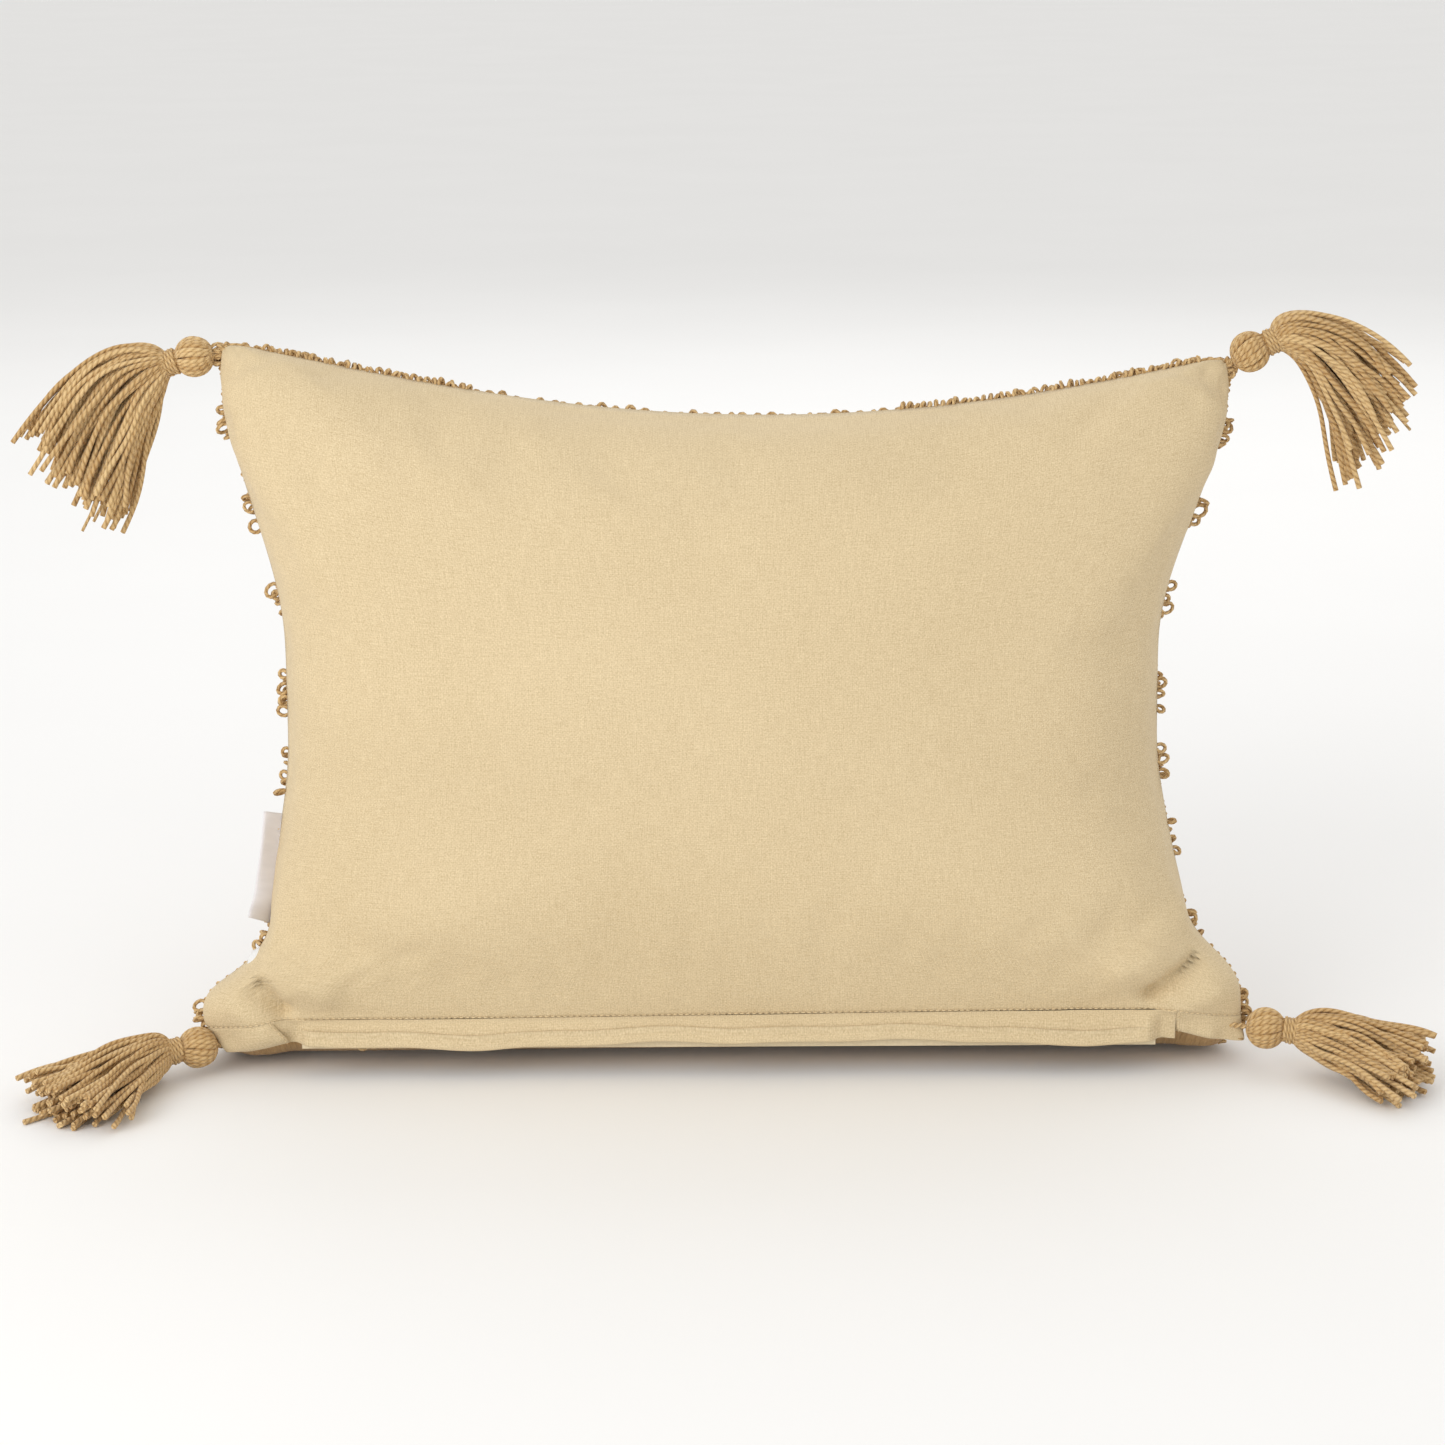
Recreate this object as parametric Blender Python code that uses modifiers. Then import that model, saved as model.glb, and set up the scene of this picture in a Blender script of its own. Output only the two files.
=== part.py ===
"""Lumbar throw pillow: plain woven back, tufted front, zip under a flap, feather-soft insert, four tassels.

Units are metres with +Z up.  The pillow stands on its long bottom edge: X runs along its width, the plain
woven back looks towards -Y and the tufted front towards +Y.  The origin is on the floor below its middle.

Every cloth piece is a layer of one cushion shape.  A layer is a flat slab, with coordinates (s, t, w), that
is bent into place: s runs from the left to the right seam, t from the bottom to the top seam, and w through
the thickness of the layer, which is measured as an inset from the face of the cover.
"""
import math

import bmesh
import bpy
from mathutils import Euler, Matrix, Vector

# Cushion
WIDTH = 0.508                 # corner to corner along X
HEIGHT = 0.356                # corner to corner along Z
THICKNESS = 0.140             # through the fullest part
SIDE_PULL = 0.030             # how far a full cushion draws in the middle of its side seams
TOP_PULL = 0.032
BOTTOM_PULL = 0.004
ROUNDNESS = 0.62              # exponent of the section: smaller is blunter at the seam
BACK_TAPER = 1.5              # the same exponent on the back, near the floor
EAR_REACH = 0.5               # share of the half size over which a corner flattens

# How it stands
SEAM_LIFT = 0.014             # bottom seam above the floor
SEAM_FORWARD = 0.048          # bottom seam in front of the middle
SETTLE_HEIGHT = 0.150         # height over which the weight rolls the seam forward
SETTLE_DROP = 0.056           # how far the front sags below its seam before the floor stops it
LEAN = math.radians(3.0)

# Cloth layers
CLOTH = 0.0012                # woven cover cloth, and the ground of the tufted front
PILE_EDGE = 0.0030            # yarn pile beside the seam
PILE_FULL = 0.0070            # yarn pile in the field
PILE_FLOOR = 0.0040           # yarn pile pressed flat below the cushion
GAP = 0.0003                  # between pieces that touch
SEAM_GAP = 0.0006             # between the front and back cloth along the seams
PILE_GAP = 0.0010             # between the ground and the pile, where the loops lift off it
INSERT_EASE = 0.0016          # between cover and insert
INSERT_CLOTH = 0.0005
EMPTY_CORNER = 0.004          # how far the insert stops short of the cover's corners
FILL_INSET = 0.0150           # fibre fill inside the face of the cover
CELLS_ACROSS = 20             # every layer shares these rows and columns, so that layers stay nested
CELLS_UP = 16                 # the flap line falls on one of these rows

# Flap over the zip
FLAP_LINE = -0.75             # t of the stitched line where the flap begins
FLAP_LINE_GAP = 0.0012         # along that line, where the cloth is folded under
FLAP_LENGTH = 0.444
FLAP_DROP = 0.0150
FLAP_STAND = 0.0022           # flap in front of the cover's face

# Zip
ZIP_LENGTH = 0.420            # between the end stops
ZIP_BEHIND_FLAP = 0.0052
ZIP_POCKET = 0.0080           # room kept between the cover and the insert behind the zip
COIL_HEIGHT = SEAM_LIFT + 0.0070      # where the closed coils meet, above the floor
COIL_RADIUS = 0.0009
SLIDER_WEB = 0.0006           # part of the slider that runs between the coils
TAPE_THICKNESS = 0.0006
UPPER_TAPE_WIDTH = 0.0085
LOWER_TAPE_WIDTH = 0.0042
STOP_LENGTH = 0.0025
SLIDER_LENGTH = 0.0095
SLIDER_WIDTH = 0.0076
SLIDER_PLATE = 0.0008
SLIDER_CLEARANCE = 0.0002
COIL_SPACING = 2 * (COIL_RADIUS + SLIDER_CLEARANCE) + SLIDER_WEB    # between the centres of the two coils
PULL_LENGTH = 0.0150
PULL_WIDTH = 0.0042
PULL_THICKNESS = 0.0007

# Side label
LABEL_LOW = -0.46             # t of its ends along the left seam
LABEL_HIGH = -0.235
LABEL_WIDTH = 0.014
LABEL_THICKNESS = 0.0009
LABEL_TURN = math.radians(28.0)
LABEL_OFFSET = 0.0042         # label clear of the seam and the pile

# Tassels
HEAD_RADIUS = 0.0102
CORD_RADIUS = 0.0014
CORD_LENGTH = 0.0042
CORD_ROOT = 0.0042            # cord end clear of the pile around the corner
NECK_RADIUS = 0.0078
NECK_LENGTH = 0.0046
SKIRT_LENGTH = 0.080
SKIRT_TOP_RADIUS = 0.0070
SKIRT_END_WIDTH = 0.058       # spread of the cut ends
TOP_SKIRT_DEPTH = 0.036
FLOOR_SKIRT_DEPTH = 0.021

# Tassel name: (side, rise, sink of its axis in degrees, swing towards the back in degrees)
TASSELS = {
    "top_left": (-1, 1, 44.0, 4.0),
    "top_right": (1, 1, 20.0, 4.0),
    "bottom_left": (-1, -1, 0.0, 32.0),
    "bottom_right": (1, -1, 0.0, 14.0),
}

MATERIALS = {
    # name: (red, green, blue, roughness, metallic)
    "cream_cloth": (0.80, 0.66, 0.44, 0.90, 0.0),
    "tan_ground": (0.52, 0.33, 0.15, 0.90, 0.0),
    "tan_yarn": (0.50, 0.30, 0.12, 0.85, 0.0),
    "insert_cloth": (0.82, 0.80, 0.76, 0.90, 0.0),
    "fibre_fill": (0.88, 0.88, 0.86, 0.95, 0.0),
    "zip_tape": (0.76, 0.66, 0.48, 0.85, 0.0),
    "zip_coil": (0.78, 0.70, 0.54, 0.45, 0.0),
    "zip_metal": (0.60, 0.55, 0.45, 0.35, 1.0),
    "label_satin": (0.70, 0.68, 0.64, 0.45, 0.0),
}


def smooth_step(value):
    """Ease from 0 to 1 with level ends."""
    value = min(1.0, max(0.0, value))
    return value * value * (3.0 - 2.0 * value)


OPENING_SHARE = FLAP_LENGTH / WIDTH
OPENING_COS = math.sqrt(1.0 - OPENING_SHARE ** 2)
SEAM_TO_MIDDLE = HEIGHT / 2 - BOTTOM_PULL


def half_section(s, t, side, inset):
    """Return x, depth from the middle surface and height of a point on one half of the full cushion."""
    across = math.sin(math.pi / 2 * s)
    up = math.sin(math.pi / 2 * t)
    across_fall = max(0.0, math.cos(math.pi / 2 * s))
    up_fall = max(0.0, math.cos(math.pi / 2 * t))
    x = across * (WIDTH / 2 - SIDE_PULL * up_fall ** 2.2 - inset)
    if up >= 0.0:
        z = up * (HEIGHT / 2 - TOP_PULL * across_fall ** 2.4 - inset)
    else:
        z = up * (HEIGHT / 2 - BOTTOM_PULL * min(1.0, across_fall / OPENING_COS) ** 2.4 - inset)
    low = smooth_step((-0.15 - t) / 0.60)
    width_share = min(1.0, across_fall / (1.0 + (OPENING_COS - 1.0) * low))
    power = ROUNDNESS
    if side < 0:
        power += (BACK_TAPER - ROUNDNESS) * smooth_step(-t / 0.8)
    ear = min(1.0, math.hypot(across_fall, up_fall) / EAR_REACH) ** 1.2
    depth = (THICKNESS / 2 - inset) * width_share ** ROUNDNESS * up_fall ** power * ear
    return x, depth, z


def cushion_point(s, t, side, inset, lift=0.0):
    """Return the point of a layer on the standing cushion; side is +1 front, -1 back, and lift is extra depth."""
    x, depth, z = half_section(s, t, side, inset)
    rise = z + SEAM_TO_MIDDLE
    settle = max(0.0, 1.0 - max(rise, 0.0) / SETTLE_HEIGHT)
    y = side * (SEAM_GAP / 2 + depth + lift) - SEAM_FORWARD * settle ** 2 + math.tan(LEAN) * rise
    height = rise + SEAM_LIFT
    if side > 0:
        height -= SETTLE_DROP * smooth_step(depth / 0.040) * settle ** 1.5
    floor = max(0.0, PILE_FLOOR + inset)
    return Vector((x, y, max(height, floor)))


def pile_height(s, t):
    """Height of the yarn pile, which is shorter beside the seams."""
    field = math.sqrt(max(0.0, math.cos(math.pi / 2 * s) * math.cos(math.pi / 2 * t)))
    return PILE_EDGE + (PILE_FULL - PILE_EDGE) * min(1.0, field * 1.5)


def insert_point(s, t, side, depth):
    """Return a point of the insert at that depth in its cloth; its back stays clear of the zip."""
    corner = math.hypot(math.cos(math.pi / 2 * s), math.cos(math.pi / 2 * t))
    inset = CLOTH + INSERT_EASE + depth + EMPTY_CORNER * (1.0 - smooth_step(corner / EAR_REACH))
    if side < 0:
        inset += ZIP_POCKET * (1.0 - smooth_step((t + 1.0) / 0.5))
    return cushion_point(s, t, side, inset, lift=GAP)


def material(name):
    """Return the Principled material of that name, made on its first use."""
    found = bpy.data.materials.get(name)
    if found:
        return found
    red, green, blue, roughness, metallic = MATERIALS[name]
    made = bpy.data.materials.new(name)
    made.use_nodes = True
    shader = made.node_tree.nodes["Principled BSDF"]
    shader.inputs["Base Color"].default_value = (red, green, blue, 1.0)
    shader.inputs["Roughness"].default_value = roughness
    shader.inputs["Metallic"].default_value = metallic
    made.diffuse_color = (red, green, blue, 1.0)
    return made


def add_object(name, mesh, material_name, collection, parent=None, smooth=False):
    """Wrap a mesh in a named object with its material."""
    made = bpy.data.objects.new(name, mesh)
    if not mesh.materials:
        mesh.materials.append(material(material_name))
    if smooth:
        mesh.shade_smooth()
    collection.objects.link(made)
    made.parent = parent
    return made


def add_empty(name, place, rotation, collection, parent=None):
    """Add an axis or frame that pieces hang from."""
    made = bpy.data.objects.new(name, None)
    made.empty_display_size = 0.01
    made.location = place
    made.rotation_euler = rotation
    collection.objects.link(made)
    made.parent = parent
    return made


def layer_mesh(name, cells, s_range, t_range, place):
    """Bend a flat slab of cells into a cloth layer; place(s, t, w) gives the point for w from 0 to 1."""
    shape = bmesh.new()
    bmesh.ops.create_grid(shape, x_segments=cells[0], y_segments=cells[1], size=1.0)
    bmesh.ops.triangulate(shape, faces=shape.faces[:], quad_method="FIXED")
    bmesh.ops.solidify(shape, geom=shape.faces[:], thickness=1.0)
    heights = [vert.co.z for vert in shape.verts]
    low, high = min(heights), max(heights)
    for vert in shape.verts:
        s = s_range[0] + (s_range[1] - s_range[0]) * (vert.co.x + 1.0) / 2
        t = t_range[0] + (t_range[1] - t_range[0]) * (vert.co.y + 1.0) / 2
        vert.co = place(s, t, (vert.co.z - low) / (high - low))
    if shape.calc_volume(signed=True) < 0.0:
        bmesh.ops.reverse_faces(shape, faces=shape.faces[:])
    mesh = bpy.data.meshes.new(name)
    shape.to_mesh(mesh)
    shape.free()
    return mesh


def box_mesh(name, low, high):
    """A box between two corners."""
    shape = bmesh.new()
    bmesh.ops.create_cube(shape, size=1.0)
    low, high = Vector(low), Vector(high)
    for vert in shape.verts:
        vert.co = Vector(low[axis] + (high[axis] - low[axis]) * (vert.co[axis] + 0.5) for axis in range(3))
    mesh = bpy.data.meshes.new(name)
    shape.to_mesh(mesh)
    shape.free()
    return mesh


def bevel(made, width, segments=2):
    """Round the edges of a piece."""
    rounding = made.modifiers.new("rounded", "BEVEL")
    rounding.width = width
    rounding.segments = segments
    rounding.limit_method = "ANGLE"
    return made


def build_cover(collection):
    """The woven back, its sewn-down band ends, the tufted ground and its yarn pile."""
    cells = (CELLS_ACROSS, CELLS_UP)

    def cover(side):
        return lambda s, t, w: cushion_point(s, t, side, CLOTH * w)

    def pile(s, t, w):
        height = PILE_GAP + (pile_height(s, t) - PILE_GAP) * (1.0 - w)
        return cushion_point(s, t, 1, -height, lift=2 * GAP)

    line_gap = FLAP_LINE_GAP / (math.pi / 2 * SEAM_TO_MIDDLE * math.cos(math.pi / 2 * FLAP_LINE))
    band_rows = round((FLAP_LINE + 1.0) / 2 * CELLS_UP)
    back_cells = (CELLS_ACROSS, CELLS_UP - band_rows)
    add_object("back_panel", layer_mesh("back_panel", back_cells, (-1, 1), (FLAP_LINE + line_gap, 1), cover(-1)),
               "cream_cloth", collection, smooth=True)
    add_object("front_ground", layer_mesh("front_ground", cells, (-1, 1), (-1, 1), cover(1)),
               "tan_ground", collection, smooth=True)
    add_object("front_pile", layer_mesh("front_pile", cells, (-1, 1), (-1, 1), pile),
               "tan_yarn", collection, smooth=True)

    end_share = math.asin((FLAP_LENGTH / 2 + GAP) / (WIDTH / 2)) / (math.pi / 2)
    for name, s_range in (("band_end_left", (-1, -end_share)), ("band_end_right", (end_share, 1))):
        add_object(name, layer_mesh(name, (6, band_rows), s_range, (-1, FLAP_LINE), cover(-1)), "cream_cloth", collection)


def build_insert(collection):
    """The insert's two cloth halves and its fibre fill."""
    cells = (CELLS_ACROSS, CELLS_UP)

    def shell(side):
        return lambda s, t, w: insert_point(s, t, side, INSERT_CLOTH * w)

    for name, side in (("insert_back", -1), ("insert_front", 1)):
        add_object(name, layer_mesh(name, cells, (-1, 1), (-1, 1), shell(side)), "insert_cloth", collection)

    def fill(s, t, w):
        return cushion_point(s, t, 1, FILL_INSET).lerp(cushion_point(s, t, -1, FILL_INSET), w)

    add_object("insert_fill", layer_mesh("insert_fill", cells, (-1, 1), (-1, 1), fill), "fibre_fill", collection)


def flap_line():
    """The straight line, along X, that the flap hangs from."""
    return cushion_point(0.0, FLAP_LINE, -1, 0.0)


def build_flap(collection):
    """The flap hangs straight from its stitched line, in front of the zip."""
    top = flap_line() + Vector((0.0, -FLAP_STAND, 0.0))
    hinge = add_empty("flap_axis", top, (0, 0, 0), collection)
    mesh = box_mesh("flap", (-FLAP_LENGTH / 2, 0.0, -FLAP_DROP), (FLAP_LENGTH / 2, CLOTH, 0.0))
    return add_object("flap", mesh, "cream_cloth", collection, parent=hinge)


def build_zip(collection):
    """Tapes, coils and stops in one straight line, with a slider on the coils and a pull on the slider."""
    y = flap_line().y - FLAP_STAND + CLOTH + ZIP_BEHIND_FLAP
    frame = add_empty("zip_frame", (0.0, y, COIL_HEIGHT), (0, 0, 0), collection)
    half = ZIP_LENGTH / 2
    half_tape = TAPE_THICKNESS / 2
    tape_start = COIL_SPACING / 2 + COIL_RADIUS + GAP
    tape_half_length = half + STOP_LENGTH + SLIDER_LENGTH / 2
    for name, direction, width in (("zip_tape_upper", 1, UPPER_TAPE_WIDTH), ("zip_tape_lower", -1, LOWER_TAPE_WIDTH)):
        edges = sorted((direction * tape_start, direction * (tape_start + width)))
        mesh = box_mesh(name, (-tape_half_length, -half_tape, edges[0]), (tape_half_length, half_tape, edges[1]))
        add_object(name, mesh, "zip_tape", collection, parent=frame)
        add_coil(name.replace("tape", "coil"), direction * COIL_SPACING / 2, collection, frame)
    reach = COIL_SPACING / 2 + COIL_RADIUS
    for name, direction in (("zip_stop_left", -1), ("zip_stop_right", 1)):
        ends = sorted((direction * (half + GAP), direction * (half + STOP_LENGTH)))
        mesh = box_mesh(name, (ends[0], -COIL_RADIUS, -reach), (ends[1], COIL_RADIUS, reach))
        bevel(add_object(name, mesh, "zip_metal", collection, parent=frame), 0.0003)
    build_slider(collection, frame, half)


def add_coil(name, z, collection, frame):
    """One closed coil, as a straight round bar between the stops."""
    bpy.ops.mesh.primitive_cylinder_add(vertices=12, radius=COIL_RADIUS, depth=ZIP_LENGTH)
    coil = bpy.context.active_object
    coil.name = name
    coil.data.name = name
    coil.data.materials.append(material("zip_coil"))
    for holder in list(coil.users_collection):
        holder.objects.unlink(coil)
    collection.objects.link(coil)
    coil.parent = frame
    coil.location = (0.0, 0.0, z)
    coil.rotation_euler = (0.0, math.pi / 2, 0.0)


def build_slider(collection, frame, half):
    """The slider rides on the coils at the right-hand end; its pull lies flat over the closed zip."""
    start = half - GAP * 2 - SLIDER_LENGTH / 2
    origin = add_empty("slider_origin", (start, 0.0, 0.0), (0, 0, 0), collection, parent=frame)
    inner = COIL_RADIUS + SLIDER_CLEARANCE
    length, width = SLIDER_LENGTH / 2, SLIDER_WIDTH / 2
    body = box_mesh("zip_slider", (-length, -inner - SLIDER_PLATE, -width), (length, inner + SLIDER_PLATE, width))
    slider = add_object("zip_slider", body, "zip_metal", collection, parent=origin)
    cutters = bpy.data.collections["cutters"]
    web = SLIDER_WEB / 2
    channel = COIL_SPACING / 2 + COIL_RADIUS + SLIDER_CLEARANCE
    slit = TAPE_THICKNESS / 2 + SLIDER_CLEARANCE
    slots = (
        ("slot_upper_coil", (-length * 2, -inner, web), (length * 2, inner, channel)),
        ("slot_lower_coil", (-length * 2, -inner, -channel), (length * 2, inner, -web)),
        ("slot_upper_tape", (-length * 2, -slit, web * 2), (length * 2, slit, width * 2)),
        ("slot_lower_tape", (-length * 2, -slit, -width * 2), (length * 2, slit, -web * 2)),
    )
    for name, low, high in slots:
        cutter = add_object(name, box_mesh(name, low, high), "zip_metal", cutters, parent=origin)
        cutter.display_type = "WIRE"
        cutter.hide_render = True
        cut = slider.modifiers.new(name, "BOOLEAN")
        cut.operation = "DIFFERENCE"
        cut.solver = "EXACT"
        cut.object = cutter
    return slider


def build_label(collection):
    """A blank folded label, sewn into the left seam, that turns about the seam."""
    low = cushion_point(-1, LABEL_LOW, -1, 0.0)
    high = cushion_point(-1, LABEL_HIGH, -1, 0.0)
    along = (high - low).normalized()
    inwards = Vector((math.cos(LABEL_TURN), math.sin(LABEL_TURN), 0.0))
    inwards = (inwards - along * inwards.dot(along)).normalized()
    turn = Matrix((inwards, along.cross(inwards), along)).transposed().to_euler()
    middle = (low + high) / 2 + Vector((-LABEL_OFFSET, 0.0, 0.0))
    hinge = add_empty("label_axis", middle, turn, collection)
    half = (high - low).length / 2
    mesh = box_mesh("side_label", (-LABEL_WIDTH, -LABEL_THICKNESS / 2, -half), (0.0, LABEL_THICKNESS / 2, half))
    return add_object("side_label", mesh, "label_satin", collection, parent=hinge)


def corner_point(side, rise):
    """Tip of a corner of the cover, where a tassel's cord comes out."""
    back = cushion_point(side, rise, -1, 0.0)
    front = cushion_point(side, rise, 1, 0.0)
    return (back + front) / 2


def build_tassels(collection):
    """Each tassel: a cord from the corner, a round head, a bound neck and a skirt of cut yarn."""
    for name, (side, rise, sink, swing) in TASSELS.items():
        root = corner_point(side, rise) + Vector((side * CORD_ROOT, 0.0, 0.0))
        on_floor = rise < 0
        depth = FLOOR_SKIRT_DEPTH if on_floor else TOP_SKIRT_DEPTH
        if on_floor:
            root.z = max(HEAD_RADIUS, NECK_RADIUS, FLOOR_SKIRT_DEPTH / 2) + GAP
        tilt = Euler((0.0, side * math.radians(90.0 + sink), 0.0))
        aim = Euler((0.0, 0.0, -side * math.radians(swing)))
        axis = add_empty(f"tassel_{name}_axis", root, aim, collection)
        frame = add_empty(f"tassel_{name}_frame", (0, 0, 0), tilt, collection, parent=axis)
        add_tassel(name, frame, depth, on_floor, collection)


def add_tassel(name, frame, depth, on_floor, collection):
    """Add one tassel that runs along the frame's +Z from its origin."""
    place = CORD_LENGTH
    add_round(f"tassel_cord_{name}", frame, 0.0, CORD_LENGTH, CORD_RADIUS, CORD_RADIUS, collection, 10)
    place += GAP + HEAD_RADIUS
    shape = bmesh.new()
    bmesh.ops.create_uvsphere(shape, u_segments=16, v_segments=10, radius=HEAD_RADIUS)
    mesh = bpy.data.meshes.new(f"tassel_head_{name}")
    shape.to_mesh(mesh)
    shape.free()
    head = add_object(f"tassel_head_{name}", mesh, "tan_yarn", collection, parent=frame, smooth=True)
    head.location = (0.0, 0.0, place)
    place += HEAD_RADIUS + GAP
    neck = add_round(f"tassel_neck_{name}", frame, place, NECK_LENGTH, NECK_RADIUS, NECK_RADIUS, collection, 18)
    bevel(neck, 0.0012, 2)
    place += NECK_LENGTH + GAP
    skirt = add_round(f"tassel_skirt_{name}", frame, place, SKIRT_LENGTH, SKIRT_TOP_RADIUS,
                      SKIRT_END_WIDTH / 2, collection, 24)
    flatten_skirt(skirt.data, depth / SKIRT_END_WIDTH, on_floor)


def add_round(name, frame, start, length, radius, end_radius, collection, segments):
    """A round bar or cone along +Z from start."""
    shape = bmesh.new()
    bmesh.ops.create_cone(shape, cap_ends=True, segments=segments, radius1=radius, radius2=end_radius, depth=length)
    bmesh.ops.translate(shape, verts=shape.verts[:], vec=(0.0, 0.0, length / 2))
    mesh = bpy.data.meshes.new(name)
    shape.to_mesh(mesh)
    shape.free()
    made = add_object(name, mesh, "tan_yarn", collection, parent=frame)
    made.location = (0.0, 0.0, start)
    return made


def flatten_skirt(mesh, share, on_floor):
    """Press the skirt's cut end to its depth; X is up or down there when the tassel lies on the floor."""
    for vert in mesh.vertices:
        if vert.co.z < SKIRT_LENGTH / 2:
            continue
        if on_floor:
            vert.co.x *= share
        else:
            vert.co.y *= share


def build_pull(collection):
    """The pull hangs on the slider's bridge and lies flat over the closed part of the zip."""
    origin = bpy.data.objects["slider_origin"]
    front = COIL_RADIUS + SLIDER_CLEARANCE + SLIDER_PLATE + GAP
    axis = add_empty("pull_axis", (0.0, -front - PULL_THICKNESS / 2, 0.0), (0, 0, 0), collection, parent=origin)
    half = PULL_THICKNESS / 2
    mesh = box_mesh("zip_pull", (-PULL_LENGTH, -half, -PULL_WIDTH / 2), (PULL_WIDTH / 4, half, PULL_WIDTH / 2))
    return bevel(add_object("zip_pull", mesh, "zip_metal", collection, parent=axis), 0.0002)


def main():
    for old in list(bpy.data.objects):
        bpy.data.objects.remove(old, do_unlink=True)
    parts = bpy.data.collections.new("throw_pillow")
    cutters = bpy.data.collections.new("cutters")
    for collection in (parts, cutters):
        bpy.context.scene.collection.children.link(collection)
    build_cover(parts)
    build_insert(parts)
    build_flap(parts)
    build_zip(parts)
    build_pull(parts)
    build_label(parts)
    build_tassels(parts)
    bpy.context.view_layer.update()


main()
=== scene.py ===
"""Lumbar throw pillow, dressed.

A woven back with a lapped zip, a tufted front, a blank side label and four yarn tassels.
"""
import logging
import math
import random
from collections.abc import Iterable, Mapping, Sequence
from dataclasses import dataclass, field
from enum import Enum
from typing import Any

import bmesh
import bpy
import numpy as np
from mathutils import Matrix, Vector


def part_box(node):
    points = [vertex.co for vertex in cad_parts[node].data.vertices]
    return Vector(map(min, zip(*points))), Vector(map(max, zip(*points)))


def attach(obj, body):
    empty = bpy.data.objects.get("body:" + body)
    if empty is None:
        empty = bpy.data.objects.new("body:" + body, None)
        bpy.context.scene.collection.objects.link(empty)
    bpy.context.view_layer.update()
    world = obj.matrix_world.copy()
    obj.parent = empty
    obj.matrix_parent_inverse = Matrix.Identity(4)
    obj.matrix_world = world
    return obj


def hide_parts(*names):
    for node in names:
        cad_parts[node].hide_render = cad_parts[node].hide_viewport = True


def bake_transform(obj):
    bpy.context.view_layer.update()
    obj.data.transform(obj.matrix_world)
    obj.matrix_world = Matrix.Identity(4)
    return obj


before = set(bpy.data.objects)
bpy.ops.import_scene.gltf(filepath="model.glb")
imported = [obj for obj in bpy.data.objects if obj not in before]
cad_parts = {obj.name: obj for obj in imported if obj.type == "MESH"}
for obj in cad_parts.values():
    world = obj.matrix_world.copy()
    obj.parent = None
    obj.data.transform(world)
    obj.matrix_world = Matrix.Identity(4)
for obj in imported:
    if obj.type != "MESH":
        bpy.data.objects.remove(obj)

log = logging.getLogger("throw_pillow")

Colour = tuple[float, float, float]
SocketKey = int | str
FLAT_MAP = "flat"          # UV map of the cloth as it was cut, in metres
YARN_FIELD = "yarn"        # vector attribute: round the yarn (cosine, sine) and along it in metres
TONE_FIELD = "tone"        # float attribute: how light one strand is, from 0 to 1
TURN = 2.0 * math.pi
GOLDEN_ANGLE = 2.399963    # spreads strands evenly over a round bundle
HALF_WIDTH = 0.254         # of the flat cover, in metres
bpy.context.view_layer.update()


class Body(Enum):
    """Bodies of the model that pieces ride on."""

    COVER = "cover"
    FLAP = "flap"
    LABEL = "side_label"


class Side(Enum):
    """The two faces of the cushion: the plain back looks towards -Y, the tufted front towards +Y."""

    BACK = -1
    FRONT = 1


class Region(Enum):
    """Cut pieces of the cover, as material indices of the one closed form."""

    BACK_PANEL = 0
    OPENING = 1
    END_LEFT = 2
    END_RIGHT = 3
    FRONT = 4


# ---------------------------------------------------------------------------------------------- node trees


class Sock:
    """One output of a node, whose arithmetic adds Math nodes to the same tree."""

    def __init__(self, board: "NodeBoard", socket: bpy.types.NodeSocket) -> None:
        """Keeps the socket and the tree that it belongs to."""
        self.board = board
        self.socket = socket

    def maths(self, operation: str, *values: Any) -> "Sock":
        """Adds one Math node.

        Args:
            operation: The Math node's operation.
            values: Numbers or sockets for its inputs, in order.

        Returns:
            The node's result.
        """
        made = self.board.node("ShaderNodeMath", {"operation": operation}, dict(enumerate(values)))
        return Sock(self.board, made.outputs[0])

    def __add__(self, other: Any) -> "Sock":
        """Sum."""
        return self.maths("ADD", self, other)

    def __radd__(self, other: Any) -> "Sock":
        """Sum, reflected."""
        return self.maths("ADD", other, self)

    def __sub__(self, other: Any) -> "Sock":
        """Difference."""
        return self.maths("SUBTRACT", self, other)

    def __rsub__(self, other: Any) -> "Sock":
        """Difference, reflected."""
        return self.maths("SUBTRACT", other, self)

    def __mul__(self, other: Any) -> "Sock":
        """Product."""
        return self.maths("MULTIPLY", self, other)

    def __rmul__(self, other: Any) -> "Sock":
        """Product, reflected."""
        return self.maths("MULTIPLY", other, self)

    def __truediv__(self, other: Any) -> "Sock":
        """Quotient."""
        return self.maths("DIVIDE", self, other)

    def __pow__(self, other: Any) -> "Sock":
        """Power."""
        return self.maths("POWER", self, other)

    def __abs__(self) -> "Sock":
        """Size without sign."""
        return self.maths("ABSOLUTE", self)

    def wave(self) -> "Sock":
        """Sine."""
        return self.maths("SINE", self)

    def clipped(self) -> "Sock":
        """The value kept between 0 and 1."""
        return self.maths("MINIMUM", self.maths("MAXIMUM", self, 0.0), 1.0)


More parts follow.
